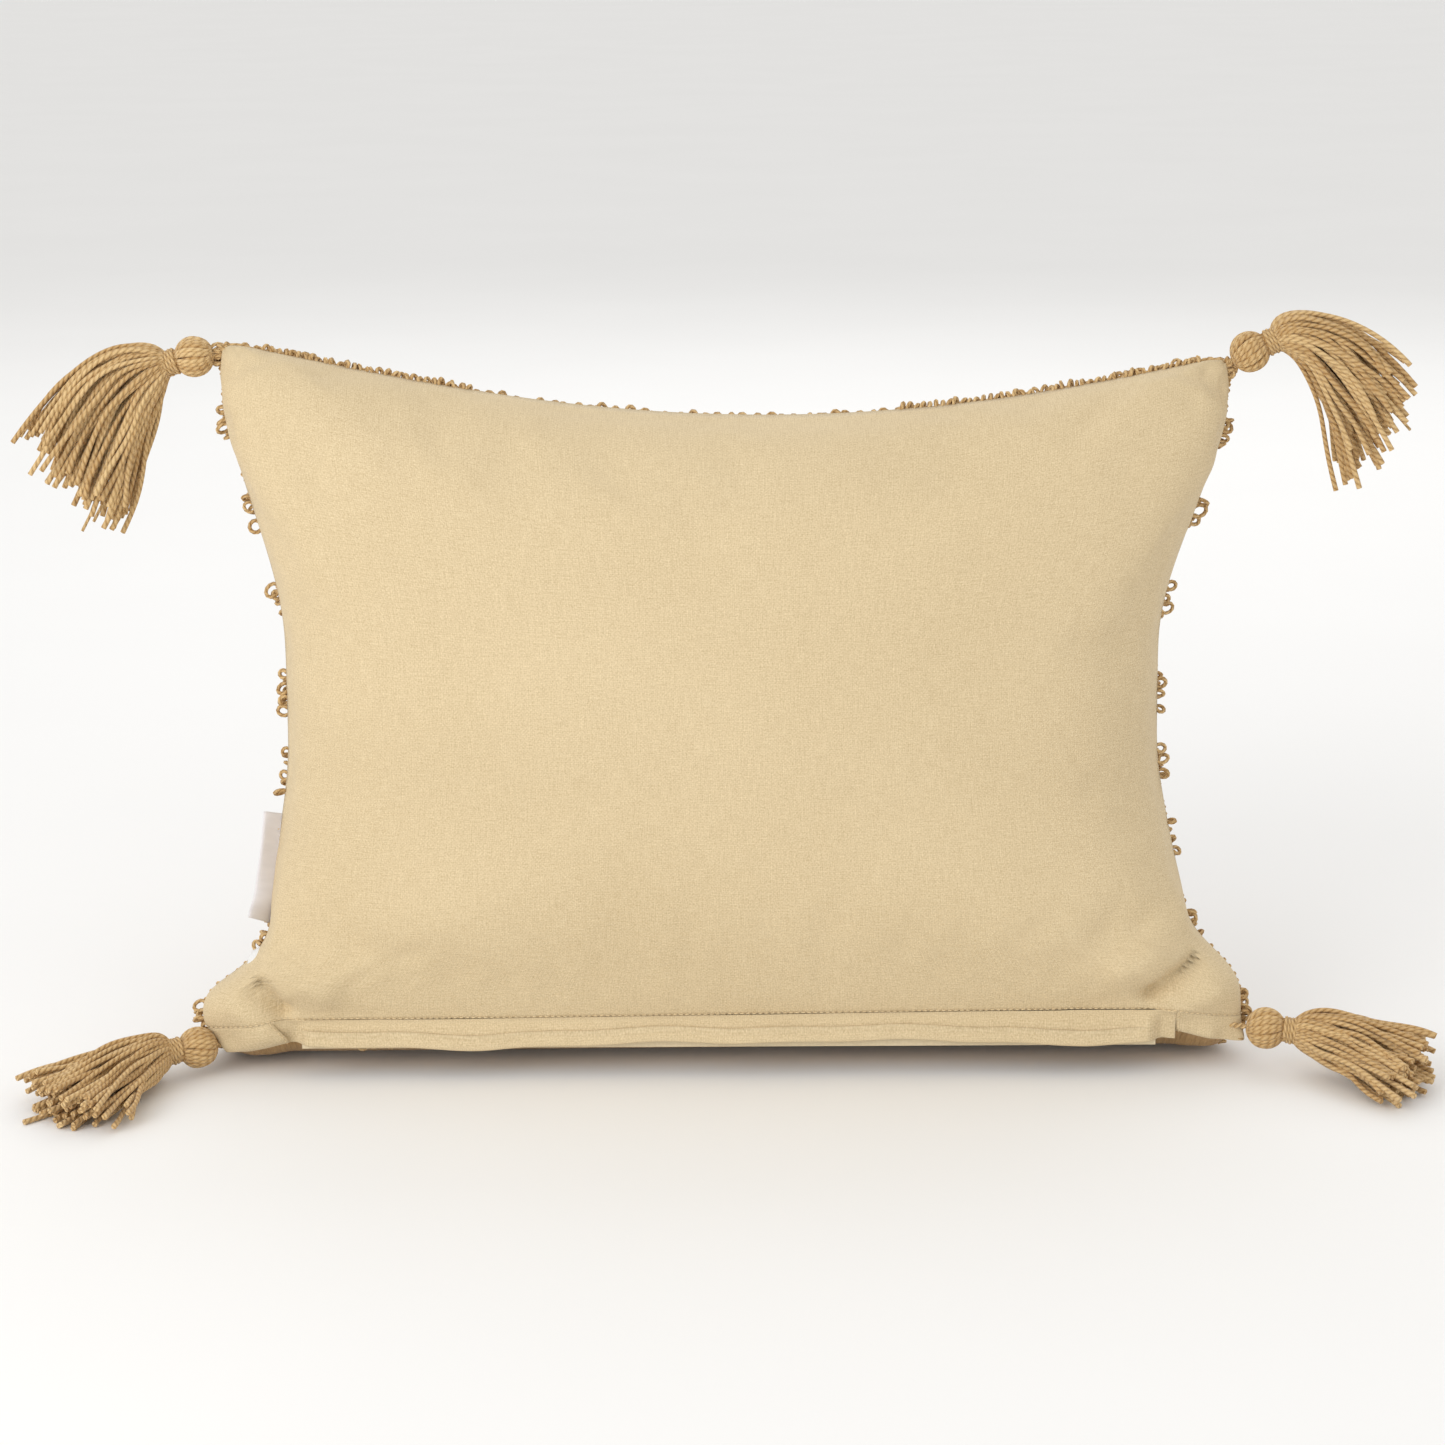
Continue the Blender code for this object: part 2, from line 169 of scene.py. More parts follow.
class NodeBoard:
    """A node tree and the one way to add nodes to it."""

    def __init__(self, tree: bpy.types.NodeTree) -> None:
        """Keeps the tree."""
        self.tree = tree

    def node(self, kind: str, settings: Mapping[str, Any] | None = None,
             inputs: Mapping[SocketKey, Any] | None = None) -> bpy.types.Node:
        """Adds a node.

        Args:
            kind: The node's type.
            settings: Properties set first.
            inputs: Values, sockets or Sock objects by input name or index.

        Returns:
            The new node.
        """
        made = self.tree.nodes.new(kind)
        for name, value in (settings or {}).items():
            setattr(made, name, value)
        for key, value in (inputs or {}).items():
            self.feed(made.inputs[key], value)
        return made

    def feed(self, socket: bpy.types.NodeSocket, value: Any) -> None:
        """Links a socket to an input, or sets the input's own value."""
        if isinstance(value, Sock):
            value = value.socket
        if isinstance(value, bpy.types.NodeSocket):
            self.tree.links.new(value, socket)
        else:
            socket.default_value = value

    def out(self, node: bpy.types.Node, key: SocketKey = 0) -> Sock:
        """One output of a node, ready for arithmetic."""
        return Sock(self, node.outputs[key])

    def axes(self, vector: bpy.types.NodeSocket) -> tuple[Sock, Sock, Sock]:
        """The three parts of a vector."""
        split = self.node("ShaderNodeSeparateXYZ", None, {0: vector})
        return self.out(split, 0), self.out(split, 1), self.out(split, 2)

    def vector(self, x: Any, y: Any, z: Any = 0.0) -> bpy.types.NodeSocket:
        """A vector from three numbers or sockets."""
        return self.node("ShaderNodeCombineXYZ", None, {0: x, 1: y, 2: z}).outputs[0]

    def noise(self, vector: bpy.types.NodeSocket, scale: float, detail: float = 2.0) -> Sock:
        """Smooth noise from 0 to 1."""
        made = self.node("ShaderNodeTexNoise", {"noise_dimensions": "3D"},
                         {"Vector": vector, "Scale": scale, "Detail": detail, "Roughness": 0.55})
        return self.out(made, 0)

    def mix(self, share: Any, first: Any, second: Any, blend: str = "MIX") -> bpy.types.NodeSocket:
        """A colour between two colours.

        Args:
            share: How much of the second, from 0 to 1.
            first: Colour or socket.
            second: Colour or socket.
            blend: The Mix node's blend type.

        Returns:
            The colour's socket.
        """
        def full(value: Any) -> Any:
            """A colour with its alpha, or the socket as it is."""
            return (*value, 1.0) if isinstance(value, tuple) else value

        made = self.node("ShaderNodeMix", {"data_type": "RGBA", "blend_type": blend},
                         {0: share, 6: full(first), 7: full(second)})
        return made.outputs[2]

    def bump(self, height: Sock, distance: float, strength: float = 1.0) -> bpy.types.NodeSocket:
        """A normal from a height between 0 and 1, whose full size is the distance in metres."""
        values = {"Strength": strength, "Distance": distance, "Height": height}
        return self.node("ShaderNodeBump", None, values).outputs[0]


class MaterialBoard(NodeBoard):
    """A material's node tree, with its Principled shader."""

    def __init__(self, name: str) -> None:
        """Makes the material and clears its tree."""
        self.made = bpy.data.materials.new(name)
        self.made.use_nodes = True
        super().__init__(self.made.node_tree)
        self.tree.nodes.clear()

    def object_place(self) -> bpy.types.NodeSocket:
        """Object coordinates, in metres."""
        return self.node("ShaderNodeTexCoord").outputs["Object"]

    def flat_place(self) -> bpy.types.NodeSocket:
        """Place on the cloth as it was cut, in metres."""
        return self.node("ShaderNodeUVMap", {"uv_map": FLAT_MAP}).outputs[0]

    def surface(self, colour: Any, roughness: Any, constants: Mapping[str, Any] | None = None,
                normal: Any = None) -> bpy.types.Material:
        """Ends the tree in a Principled shader.

        Args:
            colour: Base colour or socket.
            roughness: Number or socket.
            constants: Values of other inputs of the shader.
            normal: Socket of a Bump node, if the surface has relief.

        Returns:
            The finished material.
        """
        inputs: dict[SocketKey, Any] = dict(constants or {})
        inputs["Base Color"] = (*colour, 1.0) if isinstance(colour, tuple) else colour
        inputs["Roughness"] = roughness
        if normal is not None:
            inputs["Normal"] = normal
        shader = self.node("ShaderNodeBsdfPrincipled", None, inputs)
        self.node("ShaderNodeOutputMaterial", None, {0: shader.outputs[0]})
        return self.made


# ------------------------------------------------------------------------------------------------ finishes


@dataclass(frozen=True)
class WovenCloth:
    """Plain-woven cotton with slubs: thick and thin places in both threads."""

    name: str = "cream_cotton"
    light: Colour = (0.80, 0.655, 0.425)
    dark: Colour = (0.47, 0.355, 0.195)
    thread: float = 0.00095
    relief: float = 0.00022
    slub: float = 0.30
    sheen: float = 0.12

    def material(self) -> bpy.types.Material:
        """Returns the cloth's material."""
        board = MaterialBoard(self.name)
        u, v, _ = board.axes(board.flat_place())
        drift = board.noise(board.vector(u, v), 55.0, 1.0)
        warp = (u / self.thread + drift * 5.0) * math.pi
        weft = (v / self.thread + drift * 4.0) * math.pi
        threads = abs(warp.wave()) + abs(weft.wave())
        crossing = warp.wave() * weft.wave()
        weave = (threads * 0.32 + crossing * 0.18 + 0.18).clipped()
        along = board.noise(board.vector(u * 110.0, v * 1350.0), 1.0, 2.0)
        upright = board.noise(board.vector(u * 1350.0, v * 90.0, 4.0), 1.0, 2.0)
        speck = board.noise(board.vector(u, v, 0.3), 1150.0, 2.0)
        wide = board.noise(board.vector(u, v, 0.7), 9.0, 2.0)
        slubs = (along + upright - 1.0) * self.slub
        tone = (0.30 + weave * 0.38 + slubs * 1.5 + (speck - 0.5) * 1.15 + (wide - 0.5) * 0.24).clipped()
        height = (weave * 0.6 + slubs * 0.6 + (speck - 0.5) * 0.45 + 0.3).clipped()
        return board.surface(board.mix(tone, self.dark, self.light), (0.97 - weave * 0.10),
                             {"Sheen Weight": self.sheen, "Sheen Roughness": 0.5, "Specular IOR Level": 0.25},
                             board.bump(height, self.relief))


@dataclass(frozen=True)
class PliedYarn:
    """Two-ply wool yarn: two soft plies wound round each other, with stray fibres; painted shade darkens the
    grooves between the plies and a painted highlight lightens their crowns.
    """

    name: str = "tan_yarn"
    # crown and groove are lit and shaded copies of one yarn colour: a painted highlight on the crowns of the
    # plies and painted shade in the grooves between them
    lit_crown: Colour = (0.76, 0.545, 0.275)
    shaded_groove: Colour = (0.35, 0.165, 0.038)
    ply_pitch: float = 0.0075
    relief: float = 0.0008
    sheen: float = 0.16

    def material(self) -> bpy.types.Material:
        """Returns the yarn's material, which follows the yarn attribute of each strand."""
        board = MaterialBoard(self.name)
        winding = board.node("ShaderNodeAttribute", {"attribute_name": YARN_FIELD}).outputs["Vector"]
        tone = board.out(board.node("ShaderNodeAttribute", {"attribute_name": TONE_FIELD}), "Fac")
        across, up, run = board.axes(winding)
        angle = across.maths("ARCTAN2", up, across)
        turned = angle + run * (TURN / self.ply_pitch)
        ply = abs(turned.wave())
        fibre = board.noise(board.vector(turned * 2.2, run * 420.0, tone * 37.0), 1.6, 2.0)
        fleck = board.noise(board.vector(angle, run * 130.0, tone * 91.0), 1.0, 1.0)
        height = (ply * 0.75 + fibre * 0.35).clipped()
        # this share mixes painted shade in the ply grooves and a painted highlight on the crowns with the
        # yarn's own fibre flecks and strand tone
        depth = (ply ** 0.55 * 0.62 + (fibre - 0.5) * 0.55 + (fleck - 0.5) * 0.30 + tone * 0.34).clipped()
        return board.surface(board.mix(depth, self.shaded_groove, self.lit_crown), 0.93,
                             {"Sheen Weight": self.sheen, "Sheen Roughness": 0.45, "Specular IOR Level": 0.2},
                             board.bump(height, self.relief))


@dataclass(frozen=True)
class SatinRibbon:
    """Off-white woven satin, blank, with a fine rib across and a soft shine."""

    name: str = "white_satin"
    light: Colour = (0.80, 0.77, 0.78)
    dark: Colour = (0.62, 0.59, 0.60)
    rib: float = 0.0005

    def material(self) -> bpy.types.Material:
        """Returns the ribbon's material."""
        board = MaterialBoard(self.name)
        u, v, _ = board.axes(board.flat_place())
        rib = abs((v / self.rib * math.pi).wave())
        cloudy = board.noise(board.vector(u * 60.0, v * 220.0), 1.0, 2.0)
        tone = (rib * 0.35 + cloudy * 0.75).clipped()
        return board.surface(board.mix(tone, self.dark, self.light), 0.36 + cloudy * 0.2,
                             {"Sheen Weight": 0.2}, board.bump(rib, 0.00006))


@dataclass(frozen=True)
class WornMetal:
    """Brushed antique brass of the slider, its pull and the end stops."""

    name: str = "zip_brass"
    bright: Colour = (0.62, 0.50, 0.30)
    dull: Colour = (0.33, 0.25, 0.14)

    def material(self) -> bpy.types.Material:
        """Returns the metal's material."""
        board = MaterialBoard(self.name)
        x, y, z = board.axes(board.object_place())
        brushed = board.noise(board.vector(x * 300.0, y * 4000.0, z * 4000.0), 1.0, 2.0)
        worn = board.noise(board.vector(x, y, z), 700.0, 3.0)
        share = (brushed * 0.5 + worn * 0.7 - 0.1).clipped()
        return board.surface(board.mix(share, self.dull, self.bright), 0.22 + worn * 0.3,
                             {"Metallic": 1.0}, board.bump(brushed, 0.00003))


@dataclass(frozen=True)
class SpunNylon:
    """Smooth plastic of the zip coils."""

    name: str = "zip_nylon"
    light: Colour = (0.80, 0.70, 0.50)
    dark: Colour = (0.66, 0.55, 0.37)

    def material(self) -> bpy.types.Material:
        """Returns the plastic's material."""
        board = MaterialBoard(self.name)
        grain = board.noise(board.object_place(), 900.0, 2.0)
        return board.surface(board.mix(grain, self.dark, self.light), 0.30 + grain * 0.15,
                             {"Coat Weight": 0.1}, board.bump(grain, 0.00003))


@dataclass(frozen=True)
class RibbedCloth:
    """A cloth whose rib runs in object space, for flat pieces: zip tape and the insert's shell."""

    name: str
    light: Colour
    dark: Colour
    rib: float
    relief: float = 0.0001

    def material(self) -> bpy.types.Material:
        """Returns the cloth's material."""
        board = MaterialBoard(self.name)
        place = board.object_place()
        x, _, z = board.axes(place)
        ribs = abs((x / self.rib * math.pi).wave())
        rows = abs((z / self.rib * math.pi).wave())
        speck = board.noise(place, 500.0, 2.0)
        tone = (ribs * 0.35 + rows * 0.25 + speck * 0.6).clipped()
        return board.surface(board.mix(tone, self.dark, self.light), 0.9,
                             {"Sheen Weight": 0.1}, board.bump(tone, self.relief))


@dataclass(frozen=True)
class LoftedFibre:
    """White polyester fibre inside the insert, its colour darker in the low places of its relief as painted
    shade.
    """

    name: str = "fibre_fill"
    light: Colour = (0.90, 0.90, 0.89)
    dark: Colour = (0.68, 0.68, 0.67)

    def material(self) -> bpy.types.Material:
        """Returns the fibre's material."""
        board = MaterialBoard(self.name)
        place = board.object_place()
        tufts = board.noise(place, 45.0, 3.0)
        fibres = board.noise(place, 380.0, 3.0)
        height = (tufts * 0.7 + fibres * 0.4).clipped()
        # the colour follows the relief's height: low places between tufts get the dark colour as painted
        # shade
        return board.surface(board.mix(height, self.dark, self.light), 0.95,
                             {"Sheen Weight": 0.4}, board.bump(height, 0.004))


@dataclass(frozen=True)
class StudioFloor:
    """Matt pale floor."""

    name: str = "studio_floor"
    light: Colour = (0.90, 0.90, 0.90)
    dark: Colour = (0.87, 0.87, 0.87)

    def material(self) -> bpy.types.Material:
        """Returns the floor's material."""
        board = MaterialBoard(self.name)
        cloudy = board.noise(board.object_place(), 3.0, 2.0)
        return board.surface(board.mix(cloudy, self.dark, self.light), 0.9, {"Specular IOR Level": 0.1})


@dataclass(frozen=True)
class Finishes:
    """Every finish of the pillow, made once."""

    cream: bpy.types.Material = field(default_factory=lambda: WovenCloth().material())
    thread: bpy.types.Material = field(default_factory=lambda: RibbedCloth(
        "cream_thread", (0.84, 0.68, 0.42), (0.62, 0.47, 0.27), 0.0006).material())
    ground: bpy.types.Material = field(default_factory=lambda: WovenCloth(
        "tan_ground", (0.56, 0.36, 0.16), (0.30, 0.17, 0.065), 0.0022, 0.0006, 0.4).material())
    yarn: bpy.types.Material = field(default_factory=lambda: PliedYarn().material())
    satin: bpy.types.Material = field(default_factory=lambda: SatinRibbon().material())
    metal: bpy.types.Material = field(default_factory=lambda: WornMetal().material())
    nylon: bpy.types.Material = field(default_factory=lambda: SpunNylon().material())
    tape: bpy.types.Material = field(default_factory=lambda: RibbedCloth(
        "zip_tape", (0.82, 0.70, 0.48), (0.60, 0.48, 0.30), 0.0007).material())
    shell: bpy.types.Material = field(default_factory=lambda: RibbedCloth(
        "insert_shell", (0.86, 0.85, 0.82), (0.72, 0.70, 0.67), 0.0008).material())
    fibre: bpy.types.Material = field(default_factory=lambda: LoftedFibre().material())


# ------------------------------------------------------------------------------------------ geometry trees


class GeometryTree(NodeBoard):
    """A Geometry Nodes tree with named inputs that ends in Realize Instances and Set Material."""

    def __init__(self, name: str, sizes: Mapping[str, float | int]) -> None:
        """Makes the tree.

        Args:
            name: The tree's name.
            sizes: Named number inputs and their defaults.
        """
        tree = bpy.data.node_groups.new(name, "GeometryNodeTree")
        super().__init__(tree)
        tree.interface.new_socket("Geometry", in_out="INPUT", socket_type="NodeSocketGeometry")
        tree.interface.new_socket("Geometry", in_out="OUTPUT", socket_type="NodeSocketGeometry")
        self.keys: dict[str, str] = {}
        for label, value in sizes.items():
            kind = "NodeSocketInt" if isinstance(value, int) else "NodeSocketFloat"
            made = tree.interface.new_socket(label, in_out="INPUT", socket_type=kind)
            made.default_value = value
            self.keys[label] = made.identifier
        made = tree.interface.new_socket("Material", in_out="INPUT", socket_type="NodeSocketMaterial")
        self.keys["Material"] = made.identifier
        self.inlet = self.node("NodeGroupInput")

    def size(self, label: str) -> Sock:
        """One named input."""
        return Sock(self, self.inlet.outputs[label])

    def attribute(self, name: str, kind: str = "FLOAT") -> bpy.types.NodeSocket:
        """A field that the host mesh carries."""
        return self.node("GeometryNodeInputNamedAttribute", {"data_type": kind}, {"Name": name}).outputs[0]

    def close(self, geometry: bpy.types.NodeSocket) -> "GeometryTree":
        """Ends the tree in smooth shading, realized instances and the material."""
        smooth = self.node("GeometryNodeSetShadeSmooth", None, {"Geometry": geometry})
        real = self.node("GeometryNodeRealizeInstances", None, {0: smooth.outputs[0]})
        dressed = self.node("GeometryNodeSetMaterial", None,
                            {"Geometry": real.outputs[0], "Material": self.inlet.outputs["Material"]})
        self.node("NodeGroupOutput", None, {0: dressed.outputs[0]})
        return self

    def bake(self, host: bpy.types.Object, name: str, material: bpy.types.Material,
             **sizes: float | int) -> bpy.types.Object:
        """Runs the tree on a host and keeps the result as a plain mesh.

        Args:
            host: Object whose mesh holds the paths or points; it is removed.
            name: Name of the finished piece.
            material: What the tree's Set Material gives.
            sizes: Values of named inputs, with underscores for spaces.

        Returns:
            The finished piece.
        """
        modifier = host.modifiers.new("tree", "NODES")
        modifier.node_group = self.tree
        for label, value in sizes.items():
            modifier[self.keys[label.replace("_", " ")]] = value
        modifier[self.keys["Material"]] = material
        made = baked(host, name)
        if not made.data.materials:
            made.data.materials.append(material)
        return made


def yarn_tree() -> GeometryTree:
    """Round yarn along every chain of edges, with its winding stored for the yarn finish.

    Returns:
        The tree.
    """
    tree = GeometryTree("yarn_along_paths", {"Radius": 0.0013, "Sides": 6})
    paths = tree.node("GeometryNodeMeshToCurve", None, {"Mesh": tree.inlet.outputs["Geometry"]})
    run = tree.node("GeometryNodeSplineParameter").outputs["Length"]
    kept = tree.node("GeometryNodeCaptureAttribute", {"domain": "POINT"})
    kept.capture_items.new("FLOAT", "run")
    tree.feed(kept.inputs[0], paths.outputs[0])
    tree.feed(kept.inputs[1], run)
    ring = tree.node("GeometryNodeCurvePrimitiveCircle", None,
                     {"Resolution": tree.inlet.outputs["Sides"], "Radius": tree.inlet.outputs["Radius"]})
    place = tree.node("GeometryNodeInputPosition").outputs[0]
    round_it = tree.node("GeometryNodeCaptureAttribute", {"domain": "POINT"})
    round_it.capture_items.new("VECTOR", "rim")
    tree.feed(round_it.inputs[0], ring.outputs[0])
    tree.feed(round_it.inputs[1], place)
    tube = tree.node("GeometryNodeCurveToMesh", None,
                     {"Curve": kept.outputs[0], "Profile Curve": round_it.outputs[0],
                      "Scale": tree.attribute("thick"), "Fill Caps": True})
    rim_x, rim_y, _ = tree.axes(round_it.outputs[1])
    radius = tree.size("Radius")
    winding = tree.vector(rim_x / radius, rim_y / radius, kept.outputs[1])
    marked = tree.node("GeometryNodeStoreNamedAttribute", {"data_type": "FLOAT_VECTOR", "domain": "POINT"},
                       {"Geometry": tube.outputs[0], "Name": YARN_FIELD, "Value": winding})
    return tree.close(marked.outputs[0])


def stitch_tree() -> GeometryTree:
    """One short rounded stitch on every point, laid along the seam and flat on the cloth.

    Returns:
        The tree.
    """
    tree = GeometryTree("stitches_on_points", {"Length": 0.0024, "Thread": 0.00026})
    bead = tree.node("GeometryNodeMeshUVSphere", None, {"Segments": 6, "Rings": 5, "Radius": 0.5})
    turned = tree.node("FunctionNodeAxesToRotation", {"primary_axis": "X", "secondary_axis": "Z"},
                       {0: tree.attribute("along", "FLOAT_VECTOR"), 1: tree.attribute("out", "FLOAT_VECTOR")})
    thread = tree.size("Thread") * 2.0
    scale = tree.vector(tree.size("Length"), thread, thread)
    laid = tree.node("GeometryNodeInstanceOnPoints", None,
                     {"Points": tree.inlet.outputs["Geometry"], "Instance": bead.outputs[0],
                      "Rotation": turned.outputs[0], "Scale": scale})
    return tree.close(laid.outputs[0])


def coil_tree() -> GeometryTree:
    """A long spiral of thin wire along X, which is one half of a coil zip.

    Returns:
        The tree.
    """
    tree = GeometryTree("spiral_along_x", {"Length": 0.42, "Pitch": 0.0014, "Radius": 0.0006, "Wire": 0.0003})
    length = tree.size("Length")
    radius = tree.size("Radius")
    spiral = tree.node("GeometryNodeCurveSpiral", None,
                       {"Resolution": 10, "Rotations": length / tree.size("Pitch"), "Start Radius": radius,
                        "End Radius": radius, "Height": length})
    ring = tree.node("GeometryNodeCurvePrimitiveCircle", None, {"Resolution": 5, "Radius": tree.size("Wire")})
    wire = tree.node("GeometryNodeCurveToMesh", None,
                     {"Curve": spiral.outputs[0], "Profile Curve": ring.outputs[0], "Fill Caps": True})
    middle = tree.node("GeometryNodeTransform", None,
                       {"Geometry": wire.outputs[0], "Translation": tree.vector(0.0, 0.0, length * -0.5)})
    lying = tree.node("GeometryNodeTransform", None, {"Geometry": middle.outputs[0]})
    lying.inputs["Rotation"].default_value = (0.0, math.pi / 2, 0.0)
    host = tree.node("GeometryNodeInstanceOnPoints", None,
                     {"Points": tree.inlet.outputs["Geometry"], "Instance": lying.outputs[0]})
    return tree.close(host.outputs[0])


# ------------------------------------------------------------------------------------------- mesh helpers


def ease(value: Any) -> Any:
    """Goes from 0 to 1 with level ends."""
    held = np.clip(value, 0.0, 1.0)
    return held * held * (3.0 - 2.0 * held)


def unit(vectors: np.ndarray) -> np.ndarray:
    """The vectors with length one."""
    return vectors / np.maximum(np.linalg.norm(vectors, axis=-1, keepdims=True), 1e-12)


def added(name: str, mesh: bpy.types.Mesh) -> bpy.types.Object:
    """A new object with that mesh, in the scene."""
    made = bpy.data.objects.new(name, mesh)
    bpy.context.scene.collection.objects.link(made)
    return made


def baked(source: bpy.types.Object, name: str) -> bpy.types.Object:
    """Turns an object with its modifiers into a plain one.

    Args:
        source: The object; it is removed.
        name: Name of the new object.

    Returns:
        The plain object.
    """
    bpy.context.view_layer.update()
    graph = bpy.context.evaluated_depsgraph_get()
    mesh = bpy.data.meshes.new_from_object(source.evaluated_get(graph))
    mesh.name = name
    old = source.data
    bpy.data.objects.remove(source, do_unlink=True)
    if old.users == 0:
        bpy.data.meshes.remove(old)
    return added(name, mesh)


def enlist(piece: bpy.types.Object, body: str, nodes: Iterable[str] = ()) -> bpy.types.Object:
    """Puts a finished piece on its body.

    Args:
        piece: The finished piece.
        body: The body that it rides on.
        nodes: CAD nodes that it stands for.

    Returns:
        The piece.
    """
    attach(piece, body)
    names = list(nodes)
    if names:
        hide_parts(*names)
    triangles = sum(len(face.vertices) - 2 for face in piece.data.polygons)
    log.info("%s: %d triangles on %s", piece.name, triangles, body)
    return piece


def grid_mesh(name: str, places: np.ndarray, flat: np.ndarray, outward: bool = True) -> bpy.types.Mesh:
    """A sheet of quads.

    Args:
        name: The mesh's name.
        places: Points, shaped (columns, rows, 3).
        flat: Places on the cut cloth, shaped (columns, rows, 2).
        outward: False turns the faces round.

    Returns:
        The mesh, with its flat UV map.
    """
    columns, rows = places.shape[:2]
    number = np.arange(columns * rows).reshape(columns, rows)
    rings = [number[:-1, :-1], number[1:, :-1], number[1:, 1:], number[:-1, 1:]]
    quads = np.stack(rings, axis=-1).reshape(-1, 4)
    if not outward:
        quads = quads[:, ::-1]
    mesh = bpy.data.meshes.new(name)
    mesh.from_pydata(places.reshape(-1, 3).tolist(), [], quads.tolist())
    lay_flat(mesh, flat.reshape(-1, 2))
    mesh.shade_smooth()
    return mesh


def lay_flat(mesh: bpy.types.Mesh, flat: np.ndarray) -> None:
    """Stores each vertex's place on the cut cloth in the flat UV map.

    Args:
        mesh: The mesh.
        flat: Place of each vertex on the cut cloth, shaped (count, 2).
    """
    layer = mesh.uv_layers.new(name=FLAT_MAP)
    corners = np.empty(len(mesh.loops), dtype=np.int32)
    mesh.loops.foreach_get("vertex_index", corners)
    layer.data.foreach_set("uv", flat[corners].astype(np.float32).ravel())


def thickened(made: bpy.types.Object, thickness: float, levels: int = 0) -> bpy.types.Object:
    """Gives a sheet its thickness behind its outer face, after any subdivision.

    Args:
        made: The sheet; it is removed.
        thickness: In metres.
        levels: Levels of subdivision.

    Returns:
        The finished piece.
    """
    if levels:
        rounder = made.modifiers.new("rounder", "SUBSURF")
        rounder.levels = levels
        rounder.render_levels = levels
    wall = made.modifiers.new("wall", "SOLIDIFY")
    wall.thickness = thickness
    wall.offset = -1.0
    return baked(made, made.name)


@dataclass
class Paths:
    """Yarn paths gathered for one piece."""

    points: list[np.ndarray] = field(default_factory=list)
    thick: list[np.ndarray] = field(default_factory=list)
    tones: list[np.ndarray] = field(default_factory=list)

    def add(self, path: np.ndarray, thick: float | np.ndarray, tone: float) -> None:
        """Adds one strand.

        Args:
            path: Its points, shaped (count, 3).
            thick: Share of the tree's radius, for all or for each point.
            tone: How light it is.
        """
        self.points.append(path)
        self.thick.append(np.broadcast_to(np.asarray(thick, dtype=float), (len(path),)).copy())
        self.tones.append(np.full(len(path), tone))

    def piece(self, name: str, tree: GeometryTree, material: bpy.types.Material, radius: float,
              sides: int = 6) -> bpy.types.Object:
        """Makes every strand round and joins them in one piece.

        Args:
            name: Name of the piece.
            tree: The yarn tree.
            material: Finish of the yarn.
            radius: Of the yarn, where its share is 1.
            sides: Faces round the yarn.

        Returns:
            The piece.
        """
        edges, start = [], 0
        for path in self.points:
            edges.extend((start + step, start + step + 1) for step in range(len(path) - 1))
            start += len(path)
        mesh = bpy.data.meshes.new(name)
        mesh.from_pydata(np.concatenate(self.points).tolist(), edges, [])
        for label, values in (("thick", self.thick), (TONE_FIELD, self.tones)):
            layer = mesh.attributes.new(label, "FLOAT", "POINT")
            layer.data.foreach_set("value", np.concatenate(values).astype(np.float32))
        return tree.bake(added(name + "_paths", mesh), name, material, Radius=radius, Sides=sides)


# ------------------------------------------------------------------------------------------------ cushion


@dataclass(frozen=True)
class Crease:
    """A soft fold in the face of the cloth, from one place to another in X and Z."""

    start: tuple[float, float]
    end: tuple[float, float]
    width: float
    depth: float

    def at(self, x: np.ndarray, z: np.ndarray) -> np.ndarray:
        """How far it pushes the cloth in; a negative depth stands out."""
        run_x, run_z = self.end[0] - self.start[0], self.end[1] - self.start[1]
        along = (x - self.start[0]) * run_x + (z - self.start[1]) * run_z
        share = np.clip(along / (run_x ** 2 + run_z ** 2), 0, 1)
        away = np.hypot(x - self.start[0] - share * run_x, z - self.start[1] - share * run_z)
        return self.depth * np.exp(-(away / self.width) ** 2)


